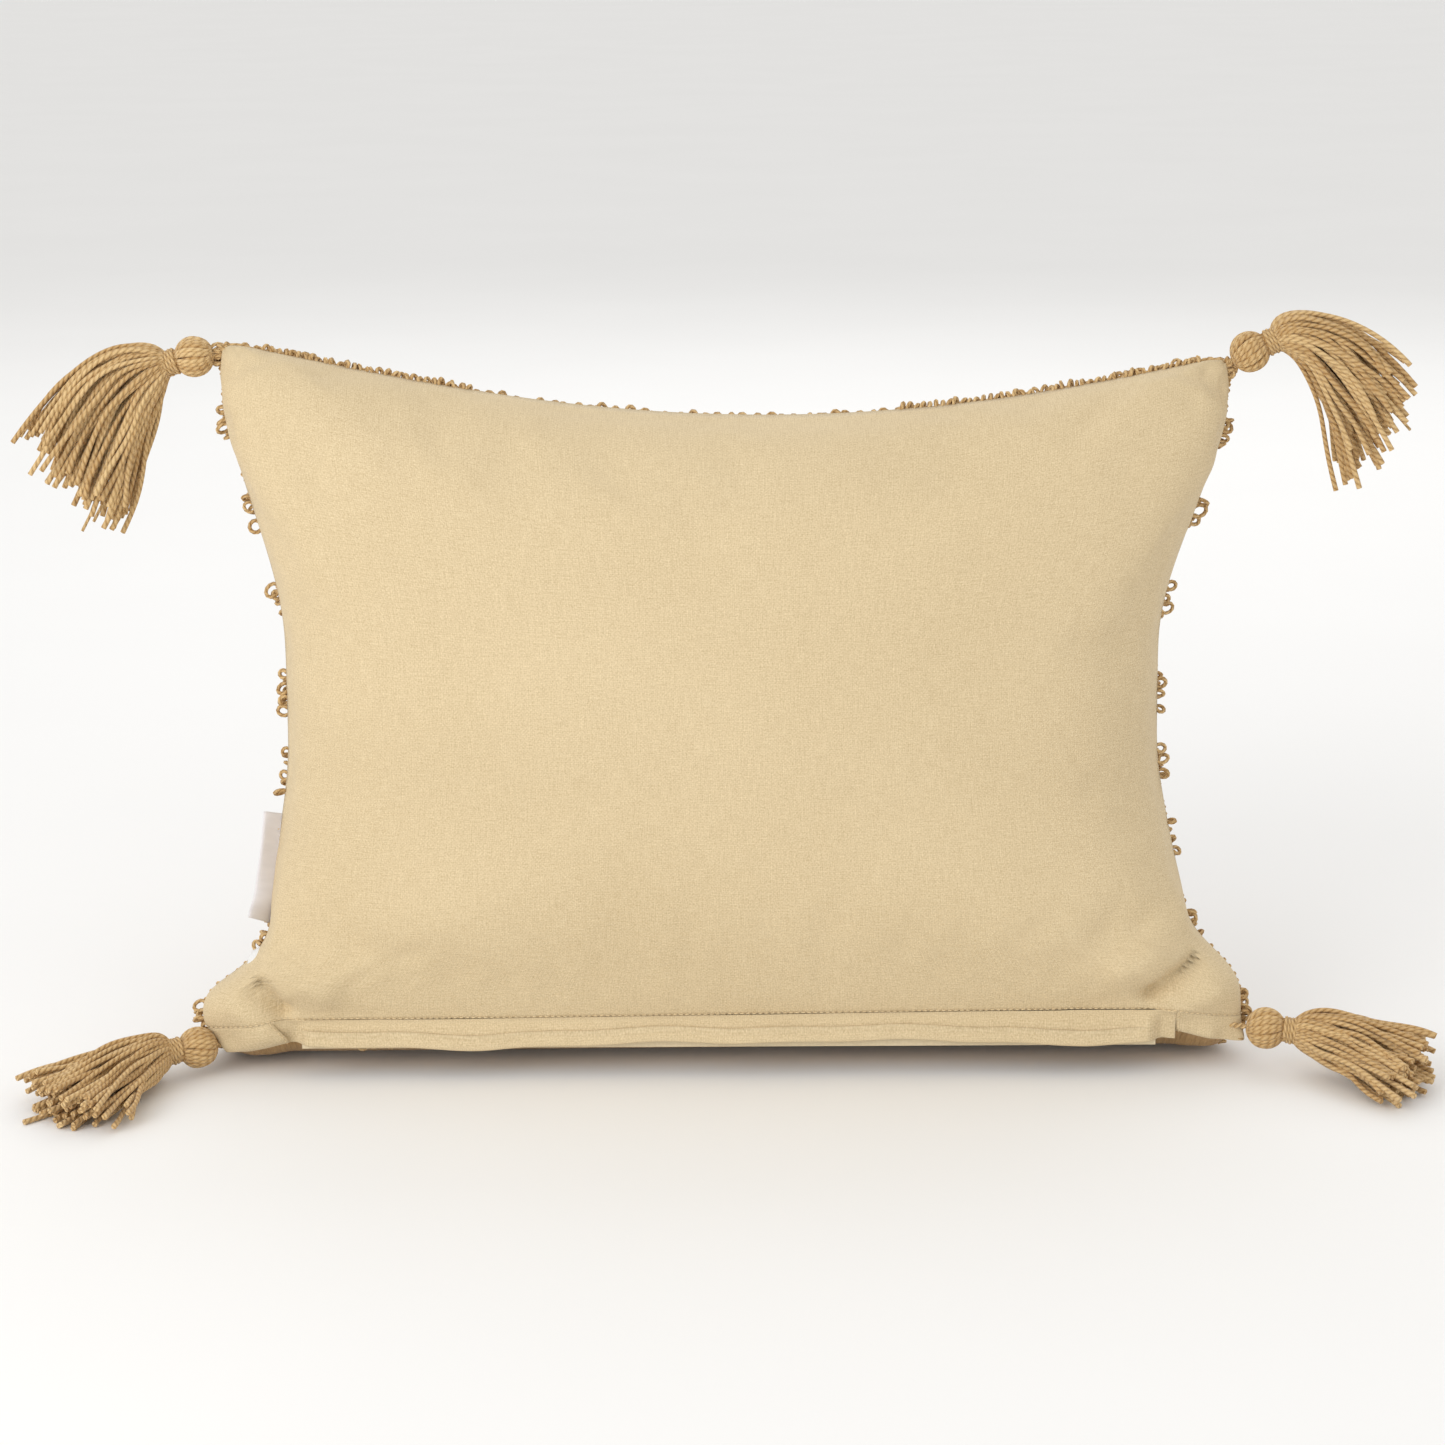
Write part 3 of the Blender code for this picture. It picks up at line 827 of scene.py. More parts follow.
@dataclass(frozen=True)
class CushionForm:
    """The stuffed shape, standing on its long bottom edge; s and t run from -1 to 1 across and up."""

    width: float = 2 * HALF_WIDTH
    height: float = 0.356
    thickness: float = 0.140
    side_pull: float = 0.030
    top_pull: float = 0.032
    bottom_pull: float = 0.004
    roundness: float = 0.62
    back_taper: float = 1.5
    side_skew: float = 0.0025
    ear_reach: float = 0.5
    ear_round: float = 0.011
    ear_out: float = 0.0020
    ear_low: float = 0.0020
    right_drop: float = 0.0105
    right_rise: float = 0.0035
    right_out: float = 0.0060
    bottom_arch: float = 0.0030
    ear_bulge: float = 0.0130
    ear_power: float = 1.2
    pull_power: float = 2.4
    base_spread: float = 0.008
    front_dip: float = 0.0045
    seam_lift: float = 0.014
    seam_forward: float = 0.048
    settle_height: float = 0.150
    settle_drop: float = 0.056
    lean: float = math.radians(3.0)
    seam_gap: float = 0.0006
    pile_floor: float = 0.0040
    flap_line: float = -0.75
    flap_length: float = 0.444

    def point(self, s: Any, t: Any, side: Side, inset: float = 0.0) -> np.ndarray:
        """Places on one face of the cushion.

        Args:
            s: Across, from -1 to 1.
            t: Up, from -1 to 1.
            side: Which face.
            inset: Depth under the face of the cover.

        Returns:
            Points in metres, in an array with one more axis than s.
        """
        s, t = np.broadcast_arrays(np.asarray(s, dtype=float), np.asarray(t, dtype=float))
        straight = math.sqrt(1.0 - (self.flap_length / self.width) ** 2)
        across, up = np.sin(math.pi / 2 * s), np.sin(math.pi / 2 * t)
        across_fall = np.clip(np.cos(math.pi / 2 * s), 0.0, 1.0)
        up_fall = np.clip(np.cos(math.pi / 2 * t), 0.0, 1.0)
        x, z = self.eared(across * (self.width / 2 - inset), up * (self.height / 2 - inset), inset)
        x = x - across * (self.side_pull + self.side_skew * across) * self.waist(up)
        x = x - (1.0 - across) / 2 * across ** 2 * self.ear_bulge * self.lobe(up)
        x = x + np.maximum(across, 0.0) ** 3 * self.right_out * ease((-up - 0.45) / 0.35)
        pull = np.where(up >= 0.0, self.top_pull * across_fall ** self.pull_power,
                        (self.bottom_pull + self.bottom_arch)
                        * self.levelled(across_fall / straight) ** self.pull_power)
        z = z - up * pull
        right = ease(0.5 + across * 0.5) * np.abs(up)
        z = z - right * np.where(up >= 0.0, self.right_drop, -self.right_rise)
        x = x * (1.0 + self.base_spread * ease(-up))
        low = ease((-0.15 - t) / 0.60)
        share = self.levelled(across_fall / (1.0 + (straight - 1.0) * low), low)
        power = self.roundness
        if side is Side.BACK:
            power = power + (self.back_taper - self.roundness) * ease(-t / 0.8)
        ear = np.minimum(1.0, np.hypot(across_fall, up_fall) / self.ear_reach) ** self.ear_power
        depth = (self.thickness / 2 - inset) * share ** self.roundness * up_fall ** power * ear
        rise = z + self.height / 2 - self.bottom_pull
        settle = np.maximum(0.0, 1.0 - np.maximum(rise, 0.0) / self.settle_height)
        y = side.value * (self.seam_gap / 2 + depth) - self.seam_forward * settle ** 2
        y = y + math.tan(self.lean) * rise
        top = rise + self.seam_lift
        if side is Side.FRONT:
            top = top - self.settle_drop * ease(depth / 0.040) * settle ** 1.5
            top = top - self.front_dip * np.exp(-((t - 0.93) / 0.06) ** 2) * ease(across_fall * 1.4)
        return np.stack([x, y, np.maximum(top, max(0.0, self.pile_floor + inset))], axis=-1)

    def waist(self, up: np.ndarray) -> np.ndarray:
        """Share of the side's pull at each height: none beside the ears, and all of it in the middle."""
        away = (1.0 - np.abs(up)) * self.height / 2
        high = ease((away - 0.016) / 0.140)
        low = 0.70 * ease((away - 0.026) / 0.034) + 0.30 * ease((away - 0.066) / 0.085)
        return np.where(up >= 0.0, high, low)

    def lobe(self, up: np.ndarray) -> np.ndarray:
        """Share of the lower ear's bulge at each height."""
        away = (1.0 - np.abs(up)) * self.height / 2
        return np.where(up < 0.0, ease(away / 0.018) * (1.0 - ease((away - 0.025) / 0.019)), 0.0)

    def eared(self, x: np.ndarray, z: np.ndarray, inset: float) -> tuple[np.ndarray, np.ndarray]:
        """Rounds the four corners of the flat outline.

        Args:
            x: Across, in metres.
            z: Up from the middle, in metres.
            inset: Depth under the face of the cover.

        Returns:
            The rounded x and z.
        """
        from_side = self.ear_round - (self.width / 2 - inset - np.abs(x))
        from_end = self.ear_round - (self.height / 2 - inset - np.abs(z))
        side, end = np.maximum(from_side, 0.0), np.maximum(from_end, 0.0)
        share = np.maximum(side, end) / np.maximum(np.hypot(side, end), 1e-9)
        share = np.where((side > 0.0) & (end > 0.0), share, 1.0)
        corner = (self.ear_out + self.ear_low * (z < 0.0)) * ease(np.minimum(side, end) / self.ear_round)
        x = x - np.sign(x) * (side * (1.0 - share) - corner)
        return x, z - np.sign(z) * (end * (1.0 - share) - corner * 0.5)

    @staticmethod
    def levelled(share: np.ndarray, low: Any = 1.0) -> np.ndarray:
        """A share that levels off at 1, by a soft turn where low is 1."""
        soft = 1.0 - np.log1p(np.exp(np.clip((1.0 - share) * 14.0, -40.0, 40.0))) / 14.0
        soft = np.clip(soft + math.log(2.0) / 14.0 * np.exp(-((share - 1.0) * 7.0) ** 2), 0.0, 1.0)
        return np.minimum(1.0, share) * (1.0 - low) + np.minimum(soft, share) * low


@dataclass(frozen=True)
class CoverFace:
    """One face of the stuffed cover as a grid that can be read anywhere between its lines."""

    s: np.ndarray
    t: np.ndarray
    places: np.ndarray
    side: Side
    folds: tuple[Crease, ...] = ()

    def at(self, s: float, t: float) -> np.ndarray:
        """The place at s and t."""
        column = float(np.interp(s, self.s, np.arange(len(self.s))))
        row = float(np.interp(t, self.t, np.arange(len(self.t))))
        i, j = min(int(column), len(self.s) - 2), min(int(row), len(self.t) - 2)
        a, b = column - i, row - j
        low = self.places[i, j] * (1 - a) + self.places[i + 1, j] * a
        high = self.places[i, j + 1] * (1 - a) + self.places[i + 1, j + 1] * a
        place = low * (1 - b) + high * b
        inside = min(i, len(self.s) - 2 - i, j, len(self.t) - 2 - j) >= 1
        place[1] += sum(float(fold.at(place[0], place[2])) for fold in self.folds) if inside else 0.0
        return place

    def frame(self, s: float, t: float) -> tuple[np.ndarray, np.ndarray, np.ndarray]:
        """The lie of the cloth at one place.

        Args:
            s: Across, from -1 to 1.
            t: Up, from -1 to 1.

        Returns:
            The place, the direction across and the outward direction.
        """
        step = 0.012
        s_low, s_high = max(-1.0, s - step), min(1.0, s + step)
        t_low, t_high = max(-1.0, t - step), min(1.0, t + step)
        across = self.at(s_high, t) - self.at(s_low, t)
        up = self.at(s, t_high) - self.at(s, t_low)
        out = np.cross(across, up) * -self.side.value
        if np.linalg.norm(out) < 1e-10:
            out = np.array([0.0, float(self.side.value), 0.0])
        return self.at(s, t), unit(across), unit(out)


@dataclass
class Cushion:
    """The cover, sewn and stuffed, and the insert inside it."""

    finishes: Finishes
    form: CushionForm = field(default_factory=CushionForm)
    columns: int = 80
    rows: int = 56
    pressure: float = 4.0
    movement: float = 0.0055
    cloth: float = 0.0012
    settle_frames: int = 20
    insert_depth: float = 0.0115
    insert_ear: float = 0.004
    zip_room: float = 0.0085
    fill_depth: float = 0.020
    folds: tuple[Crease, ...] = (
        Crease((-0.226, 0.019), (-0.243, 0.018), 0.0070, -0.0050),
        Crease((0.226, 0.019), (0.243, 0.018), 0.0070, -0.0050),
        Crease((-0.238, 0.047), (-0.226, 0.036), 0.0042, 0.0095),
        Crease((-0.225, 0.035), (-0.176, 0.033), 0.0042, 0.0008),
        Crease((-0.252, 0.038), (-0.236, 0.027), 0.0075, -0.0048),
        Crease((-0.234, 0.062), (-0.204, 0.046), 0.0080, -0.0058),
        Crease((0.214, 0.042), (0.236, 0.056), 0.0044, 0.0100),
        Crease((0.214, 0.042), (0.176, 0.034), 0.0044, 0.0008),
        Crease((0.228, 0.034), (0.248, 0.042), 0.0080, -0.0046),
        Crease((0.200, 0.056), (0.232, 0.076), 0.0090, -0.0050),
        Crease((-0.232, 0.214), (-0.186, 0.204), 0.0070, 0.0016),
        Crease((-0.226, 0.142), (-0.196, 0.150), 0.0080, 0.0012),
        Crease((0.229, 0.214), (0.176, 0.222), 0.0075, 0.0018),
        Crease((0.228, 0.136), (0.184, 0.146), 0.0080, 0.0020),
        Crease((-0.243, 0.345), (-0.196, 0.300), 0.0110, 0.0016),
        Crease((0.243, 0.345), (0.200, 0.306), 0.0110, 0.0016),
        Crease((-0.110, 0.338), (-0.100, 0.306), 0.0100, 0.0010),
        Crease((0.080, 0.334), (0.084, 0.300), 0.0110, 0.0010),
    )

    def lines(self) -> tuple[np.ndarray, np.ndarray]:
        """Grid lines across and up; one pair of columns stands at the ends of the flap."""
        s = np.linspace(-1.0, 1.0, self.columns + 1)
        end = math.asin(self.form.flap_length / self.form.width) / (math.pi / 2)
        for wanted in (-end, end):
            s[int(np.argmin(np.abs(s - wanted)))] = wanted
        return s, np.linspace(-1.0, 1.0, self.rows + 1)

    def flat_lines(self, s: np.ndarray, t: np.ndarray) -> tuple[np.ndarray, np.ndarray]:
        """Distances along the cloth, measured over the middle of the back.

        Args:
            s: Grid lines across.
            t: Grid lines up.

        Returns:
            The distance of each line across and of each line up, in metres.
        """
        row = self.form.point(s, np.zeros_like(s), Side.BACK)
        column = self.form.point(np.zeros_like(t), t, Side.BACK)
        u = np.concatenate([[0.0], np.cumsum(np.linalg.norm(np.diff(row, axis=0), axis=1))])
        v = np.concatenate([[0.0], np.cumsum(np.linalg.norm(np.diff(column, axis=0), axis=1))])
        return u, v

    def sew(self) -> bpy.types.Object:
        """Sews back and front into one closed form, with a material index for each cut piece.

        Returns:
            The closed form.
        """
        s, t = self.lines()
        grid_s, grid_t = np.meshgrid(s, t, indexing="ij")
        back = self.form.point(grid_s, grid_t, Side.BACK)
        front = self.form.point(grid_s, grid_t, Side.FRONT)
        seam = np.zeros(grid_s.shape, dtype=bool)
        seam[[0, -1], :] = True
        seam[:, [0, -1]] = True
        back[seam] = (back[seam] + front[seam]) / 2
        count = back.shape[0] * back.shape[1]
        back_number = np.arange(count).reshape(back.shape[:2])
        front_number = back_number.copy()
        inner = np.argwhere(~seam)
        front_number[~seam] = count + np.arange(len(inner))
        u, v = self.flat_lines(s, t)
        flat = np.stack(np.meshgrid(u, v, indexing="ij"), axis=-1)
        line_row = int(np.argmin(np.abs(t - self.form.flap_line)))
        left, right = (int(np.argmin(np.abs(s - end))) for end in (-self.end_share(), self.end_share()))
        faces, regions = [], []
        for i in range(self.columns):
            for j in range(self.rows):
                region = Region.BACK_PANEL
                if j < line_row:
                    region = Region.END_LEFT if i < left else Region.OPENING
                    region = Region.END_RIGHT if i >= right else region
                ring = ((i, j), (i + 1, j), (i + 1, j + 1), (i, j + 1))
                faces.append([int(back_number[place]) for place in ring])
                regions.append(region.value)
                faces.append([int(front_number[place]) for place in reversed(ring)])
                regions.append(Region.FRONT.value)
        mesh = bpy.data.meshes.new("closed_form")
        mesh.from_pydata(np.concatenate([back.reshape(-1, 3), front[~seam]]).tolist(), [], faces)
        lay_flat(mesh, np.concatenate([flat.reshape(-1, 2), flat[~seam]]))
        for _ in Region:
            mesh.materials.append(None)
        mesh.polygons.foreach_set("material_index", regions)
        self.pin(mesh, back_number, front_number, grid_t, seam)
        corners = back_number[::self.columns, ::self.rows]
        self.crease_seam(mesh, set(back_number[seam].tolist()), set(corners.ravel().tolist()))
        self.number = {Side.BACK: back_number, Side.FRONT: front_number}
        made = added("closed_form", mesh)
        group = made.vertex_groups.new(name="held")
        for index, weight in enumerate(self.held):
            group.add([index], float(weight), "REPLACE")
        return made

    def end_share(self) -> float:
        """s at the ends of the flap."""
        return math.asin(self.form.flap_length / self.form.width) / (math.pi / 2)

    def pin(self, mesh: bpy.types.Mesh, back: np.ndarray, front: np.ndarray, t: np.ndarray,
            seam: np.ndarray) -> None:
        """Holds the seam, the straight band round the zip and the base that rests on the floor.

        Args:
            mesh: The closed form.
            back: Vertex numbers of the back's grid.
            front: Vertex numbers of the front's grid.
            t: Place of each grid point up the cloth.
            seam: Which grid points are on the seam.
        """
        held = np.zeros(len(mesh.vertices))
        held[front] = 1.0 - ease((t + 0.62) / 0.30)
        held[back] = 1.0 - ease((t + 0.74) / 0.30)
        held[back[seam]] = 1.0
        self.held = held

    @staticmethod
    def crease_seam(mesh: bpy.types.Mesh, seam: set[int], corners: set[int]) -> None:
        """Keeps the sewn edge and its corners crisp under subdivision.

        Args:
            mesh: The closed form.
            seam: Numbers of the seam's vertices.
            corners: Numbers of the four corner vertices.
        """
        layer = mesh.attributes.new("crease_edge", "FLOAT", "EDGE")
        layer.data.foreach_set("value", [float(seam.issuperset(edge.vertices)) for edge in mesh.edges])
        sharp = mesh.attributes.new("crease_vert", "FLOAT", "POINT")
        sharp.data.foreach_set("value", [0.5 * (index in corners) for index in range(len(mesh.vertices))])

    def stuff(self, closed: bpy.types.Object) -> None:
        """Blows the cloth out by its filling, as a cloth simulation, and keeps each point near its place.

        Args:
            closed: The closed form, whose mesh is changed.
        """
        mesh = closed.data
        rest = np.empty(len(mesh.vertices) * 3)
        mesh.vertices.foreach_get("co", rest)
        rest = rest.reshape(-1, 3)
        stuffing = closed.modifiers.new("stuffing", "CLOTH")
        settings = stuffing.settings
        settings.quality = 5
        settings.mass = 0.25
        settings.tension_stiffness = 18.0
        settings.compression_stiffness = 14.0
        settings.shear_stiffness = 8.0
        settings.bending_stiffness = 0.35
        settings.vertex_group_mass = "held"
        settings.use_pressure = True
        settings.uniform_pressure_force = self.pressure
        settings.shrink_min = -0.018
        settings.effector_weights.gravity = 0.0
        stuffing.collision_settings.use_collision = False
        for step in range(1, self.settle_frames + 1):
            bpy.context.scene.frame_set(step)
        graph = bpy.context.evaluated_depsgraph_get()
        blown = closed.evaluated_get(graph).to_mesh()
        moved = np.empty(len(blown.vertices) * 3)
        blown.vertices.foreach_get("co", moved)
        shift = moved.reshape(-1, 3) - rest
        size = np.linalg.norm(shift, axis=1, keepdims=True)
        log.info("stuffing moves the cloth by up to %.1f mm", size.max() * 1000)
        rest = rest + shift * (self.movement * np.tanh(size / self.movement) / np.maximum(size, 1e-9))
        closed.evaluated_get(graph).to_mesh_clear()
        closed.modifiers.remove(stuffing)
        bpy.context.scene.frame_set(1)
        rest[:, 2] = np.maximum(rest[:, 2], self.form.pile_floor)
        mesh.vertices.foreach_set("co", rest.ravel())
        mesh.update()
        s, t = self.lines()
        folds = {Side.BACK: self.folds, Side.FRONT: ()}
        self.faces = {side: CoverFace(s, t, rest[self.number[side]], side, folds[side]) for side in Side}

    def fold(self, closed: bpy.types.Object) -> None:
        """Presses the folds into the back of the smoothed cover, up to its seam.

        Args:
            closed: The closed form, whose mesh is changed.
        """
        mesh = closed.data
        fronts = (face for face in mesh.polygons if face.material_index == Region.FRONT.value)
        front = {index for face in fronts for index in face.vertices}
        for vertex in mesh.vertices:
            if vertex.index not in front:
                vertex.co.y += sum(float(fold.at(vertex.co.x, vertex.co.z)) for fold in self.folds)
        mesh.update()

    def cut(self, closed: bpy.types.Object, region: Region, name: str,
            material: bpy.types.Material) -> bpy.types.Object:
        """Takes one cut piece out of the closed form and gives it the cloth's thickness.

        Args:
            closed: The closed form.
            region: Which piece.
            name: The piece's name.
            material: Its finish.

        Returns:
            The piece.
        """
        shape = bmesh.new()
        shape.from_mesh(closed.data)
        other = [face for face in shape.faces if face.material_index != region.value]
        bmesh.ops.delete(shape, geom=other, context="FACES")
        mesh = bpy.data.meshes.new(name)
        shape.to_mesh(mesh)
        shape.free()
        mesh.polygons.foreach_set("material_index", [0] * len(mesh.polygons))
        mesh.materials.clear()
        mesh.materials.append(material)
        mesh.shade_smooth()
        return thickened(added(name, mesh), self.cloth)

    def build(self) -> None:
        """Builds the four pieces of the cover."""
        closed = self.sew()
        self.stuff(closed)
        rounder = closed.modifiers.new("rounder", "SUBSURF")
        rounder.levels = 1
        rounder.render_levels = 1
        closed = baked(closed, "closed_form_smooth")
        self.fold(closed)
        cream, ground = self.finishes.cream, self.finishes.ground
        plan = ((Region.BACK_PANEL, "woven_back", cream, "woven_cloth", "back_panel"),
                (Region.END_LEFT, "lap_end_left", cream, "woven_cloth", "band_end_left"),
                (Region.END_RIGHT, "lap_end_right", cream, "woven_cloth", "band_end_right"),
                (Region.FRONT, "tufting_ground", ground, "tufted_ground", "front_ground"))
        for region, name, material, slot, node in plan:
            piece = self.cut(closed, region, name, material)
            enlist(piece, Body.COVER.value, [node])
        old = closed.data
        bpy.data.objects.remove(closed, do_unlink=True)
        bpy.data.meshes.remove(old)

    def build_insert(self) -> None:
        """Builds the insert's two shells and its filling, a little inside the cover."""
        s, t = np.linspace(-1.0, 1.0, 45), np.linspace(-1.0, 1.0, 33)
        grid_s, grid_t = np.meshgrid(s, t, indexing="ij")
        u, v = self.flat_lines(s, t)
        flat = np.stack(np.meshgrid(u, v, indexing="ij"), axis=-1)
        corner = np.hypot(np.cos(math.pi / 2 * grid_s), np.cos(math.pi / 2 * grid_t))
        for side, name, node in ((Side.BACK, "insert_shell_back", "insert_back"),
                                 (Side.FRONT, "insert_shell_front", "insert_front")):
            deep = self.insert_depth + self.insert_ear * (1.0 - ease(corner / self.form.ear_reach))
            if side is Side.BACK:
                deep = deep + self.zip_room * (1.0 - ease((grid_t + 1.0) / 0.5))
            places = self.inset(grid_s, grid_t, side, deep)
            shell = added(name, grid_mesh(name, places, flat, side is Side.BACK))
            shell.data.materials.append(self.finishes.shell)
            enlist(thickened(shell, 0.0005, 1), Body.COVER.value, [node])
        self.build_fill(grid_s, grid_t)

    def inset(self, s: np.ndarray, t: np.ndarray, side: Side, deep: np.ndarray) -> np.ndarray:
        """Points of the form at a depth that changes over it.

        Args:
            s: Across, from -1 to 1.
            t: Up, from -1 to 1.
            side: Which face.
            deep: Depth under the face at each point.

        Returns:
            The points.
        """
        steps = np.linspace(0.0, 0.026, 14)
        layers = np.stack([self.form.point(s, t, side, float(step)) for step in steps])
        place = np.clip(deep / steps[-1] * (len(steps) - 1), 0, len(steps) - 1.001)
        low = place.astype(int)
        share = (place - low)[..., None]
        rows, columns = np.indices(s.shape)
        return self.within(layers[low, rows, columns] * (1 - share) + layers[low + 1, rows, columns] * share)

    def within(self, places: np.ndarray, margin: float = 0.010) -> np.ndarray:
        """Draws each row of points in, so that it ends inside the cover's side seams.

        Args:
            places: Points of the insert, shaped (columns, rows, 3).
            margin: Least distance from the seam.

        Returns:
            The points, drawn in.
        """
        cover = self.faces[Side.BACK].places
        drawn = places.copy()
        for end, hand in ((0, -1.0), (-1, 1.0)):
            seam = np.abs(np.interp(places[end, :, 2], cover[end, :, 2], cover[end, :, 0])) - margin
            factor = np.minimum(1.0, seam / np.maximum(np.abs(places[end, :, 0]), 1e-6))
            drawn[..., 0] = np.where(places[..., 0] * hand > 0.0, places[..., 0] * factor, drawn[..., 0])
        return drawn

    def build_fill(self, s: np.ndarray, t: np.ndarray) -> None:
        """Builds the fibre filling as one closed lump.

        Args:
            s: Grid lines across.
            t: Grid lines up.
        """
        shape = bmesh.new()
        rings = {}
        for side in Side:
            places = self.form.point(s, t, side, self.fill_depth)
            for i in range(s.shape[0]):
                for j in range(s.shape[1]):
                    rings[side, i, j] = shape.verts.new(places[i, j])
        for side in Side:
            for i in range(s.shape[0] - 1):
                for j in range(s.shape[1] - 1):
                    places = ((i, j), (i + 1, j), (i + 1, j + 1), (i, j + 1))
                    ring = [rings[side, column, row] for column, row in places]
                    shape.faces.new(ring if side is Side.BACK else ring[::-1])
        bmesh.ops.remove_doubles(shape, verts=shape.verts[:], dist=0.0012)
        bmesh.ops.holes_fill(shape, edges=shape.edges[:], sides=0)
        bmesh.ops.recalc_face_normals(shape, faces=shape.faces[:])
        mesh = bpy.data.meshes.new("fibre_filling")
        shape.to_mesh(mesh)
        shape.free()
        mesh.materials.append(self.finishes.fibre)
        mesh.shade_smooth()
        piece = added("fibre_filling", mesh)
        enlist(piece, Body.COVER.value, ["insert_fill"])


# ------------------------------------------------------------------------------------------ flap, zip, label


@dataclass
class Flap:
    """The folded lap that hangs over the zip from its stitched line."""

    finishes: Finishes
    cushion: Cushion
    drop: float = 0.0145
    hem: float = 0.0080
    cloth: float = 0.0008
    proud: float = 0.0007
    dip: float = 0.0009
    bend_power: float = 2.2
    tuck_from: float = 0.2125
    tuck_run: float = 0.0095
    joint_run: float = 0.0045
    columns: int = 148

    def wave(self, x: np.ndarray) -> tuple[np.ndarray, np.ndarray]:
        """How the free edge wanders.

        Args:
            x: Places along the edge.

        Returns:
            Extra drop and extra distance from the cover at each place.
        """
        down = 0.0006 * np.sin(x * 46.0 + 0.6) + 0.0005 * np.sin(x * 101.0 + 2.0)
        down = down + 0.0022 * ease((x - 0.10) / 0.12)
        down = down - 0.0018 * np.exp(-((x - 0.01) / 0.075) ** 2) - 0.0012 * ease((-0.15 - x) / 0.07)
        out = 0.0012 * np.sin(x * 38.0 + 1.1) + 0.0008 * np.sin(x * 83.0)
        return down, out

    def build(self) -> None:
        """Builds the lap in one piece with its hem turned up inside."""
        low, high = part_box("flap")
        face = self.cushion.faces[Side.BACK]
        end = self.cushion.end_share()
        s = np.linspace(-end, end, self.columns + 1)
        roots = np.array([face.at(value, self.cushion.form.flap_line) for value in s])
        above = np.array([face.at(value, self.cushion.form.flap_line + 0.05) for value in s])
        slope = unit(roots - above)
        x = roots[:, 0]
        down, out = self.wave(x)
        rim_y = low[1] - 0.0002 - np.clip(out, -0.0004, 0.0016)
        rim_z = roots[:, 2] - self.drop - down
        tuck = ease((np.abs(x) - self.tuck_from) / self.tuck_run)
        lower = np.array([face.at(value, -0.90) for value in s])
        rim_y = rim_y * (1.0 - tuck) + (lower[:, 1] - 0.0004) * tuck
        dips = {0.0: 0.0, 0.06: 0.5, 0.14: 0.2, 0.28: 0.0, 0.5: 0.0, 0.75: 0.0, 0.93: 0.0, 1.0: 0.0}
        rows = []
        for share, dip in dips.items():
            bend = 1.0 - (1.0 - share) ** self.bend_power
            start = roots + slope * (share * self.drop)
            row = np.stack([x, start[:, 1] * (1 - bend) + rim_y * bend + dip * self.dip,
                            roots[:, 2] + (rim_z - roots[:, 2]) * share], axis=-1)
            row[:, 1] -= self.proud * (share < 0.1)
            rows.append(row)
        for back, up in ((0.0009, -0.0004), (0.0016, 0.0004), (0.0017, 0.003), (0.0014, self.hem)):
            rows.append(np.stack([x, rim_y + back, rim_z + up], axis=-1))
        places = np.stack(rows[::-1], axis=1)
        run = np.linspace(self.hem + self.drop + 0.002, 0.0, places.shape[1])
        lines = self.cushion.lines()
        v_start = float(np.interp(self.cushion.form.flap_line, lines[1], self.cushion.flat_lines(*lines)[1]))
        flat = np.stack(np.meshgrid(x + 0.25, v_start - run, indexing="ij"), axis=-1)
        made = added("zip_lap", grid_mesh("zip_lap", places, flat))
        made.data.materials.append(self.finishes.cream)
        made = thickened(made, self.cloth, 1)
        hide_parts("flap")
        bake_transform(made)
        log.info("zip_lap: %d faces, cover to flap", len(made.data.polygons))

    def stitch(self, tree: GeometryTree) -> None:
        """Sews the lap's line and the short seams at its two ends, a stitch every 3.1 mm.

        Args:
            tree: The stitch tree.
        """
        face = self.cushion.faces[Side.BACK]
        end = self.cushion.end_share()
        line = self.cushion.form.flap_line
        seams = [[(value, line + 0.006) for value in np.linspace(-0.992, 0.992, 500)],
                 [(-end - 0.006, value) for value in np.linspace(line, -0.985, 60)],
                 [(end + 0.006, value) for value in np.linspace(line, -0.985, 60)]]
        points, along, outs = [], [], []
        for seam in seams:
            places = np.array([face.at(*value) for value in seam])
            run = np.concatenate([[0.0], np.cumsum(np.linalg.norm(np.diff(places, axis=0), axis=1))])
            for distance in np.arange(0.0015, run[-1], 0.0031):
                s = float(np.interp(distance, run, [value[0] for value in seam]))
                t = float(np.interp(distance, run, [value[1] for value in seam]))
                place, _, out = face.frame(s, t)
                nearer = np.array([np.interp(distance + 0.001, run, places[:, axis]) for axis in range(3)])
                points.append(place + out * 0.00012)
                along.append(unit(nearer - place))
                outs.append(out)
        piece = stitched("lap_stitches", tree, self.finishes.thread, points, along, outs)
        enlist(piece, Body.COVER.value)


def stitched(name: str, tree: GeometryTree, material: bpy.types.Material, points: Sequence[np.ndarray],
             along: Sequence[np.ndarray], outs: Sequence[np.ndarray]) -> bpy.types.Object:
    """Lays one stitch on each point.

    Args:
        name: Name of the piece.
        tree: The stitch tree.
        material: Finish of the thread.
        points: Where each stitch lies.
        along: Its direction.
        outs: The cloth's outward direction there.

    Returns:
        All stitches as one piece.
    """
    mesh = bpy.data.meshes.new(name)
    mesh.from_pydata([tuple(point) for point in points], [], [])
    for label, values in (("along", along), ("out", outs)):
        layer = mesh.attributes.new(label, "FLOAT_VECTOR", "POINT")
        layer.data.foreach_set("vector", np.array(values, dtype=np.float32).ravel())
    return tree.bake(added(name + "_points", mesh), name, material)


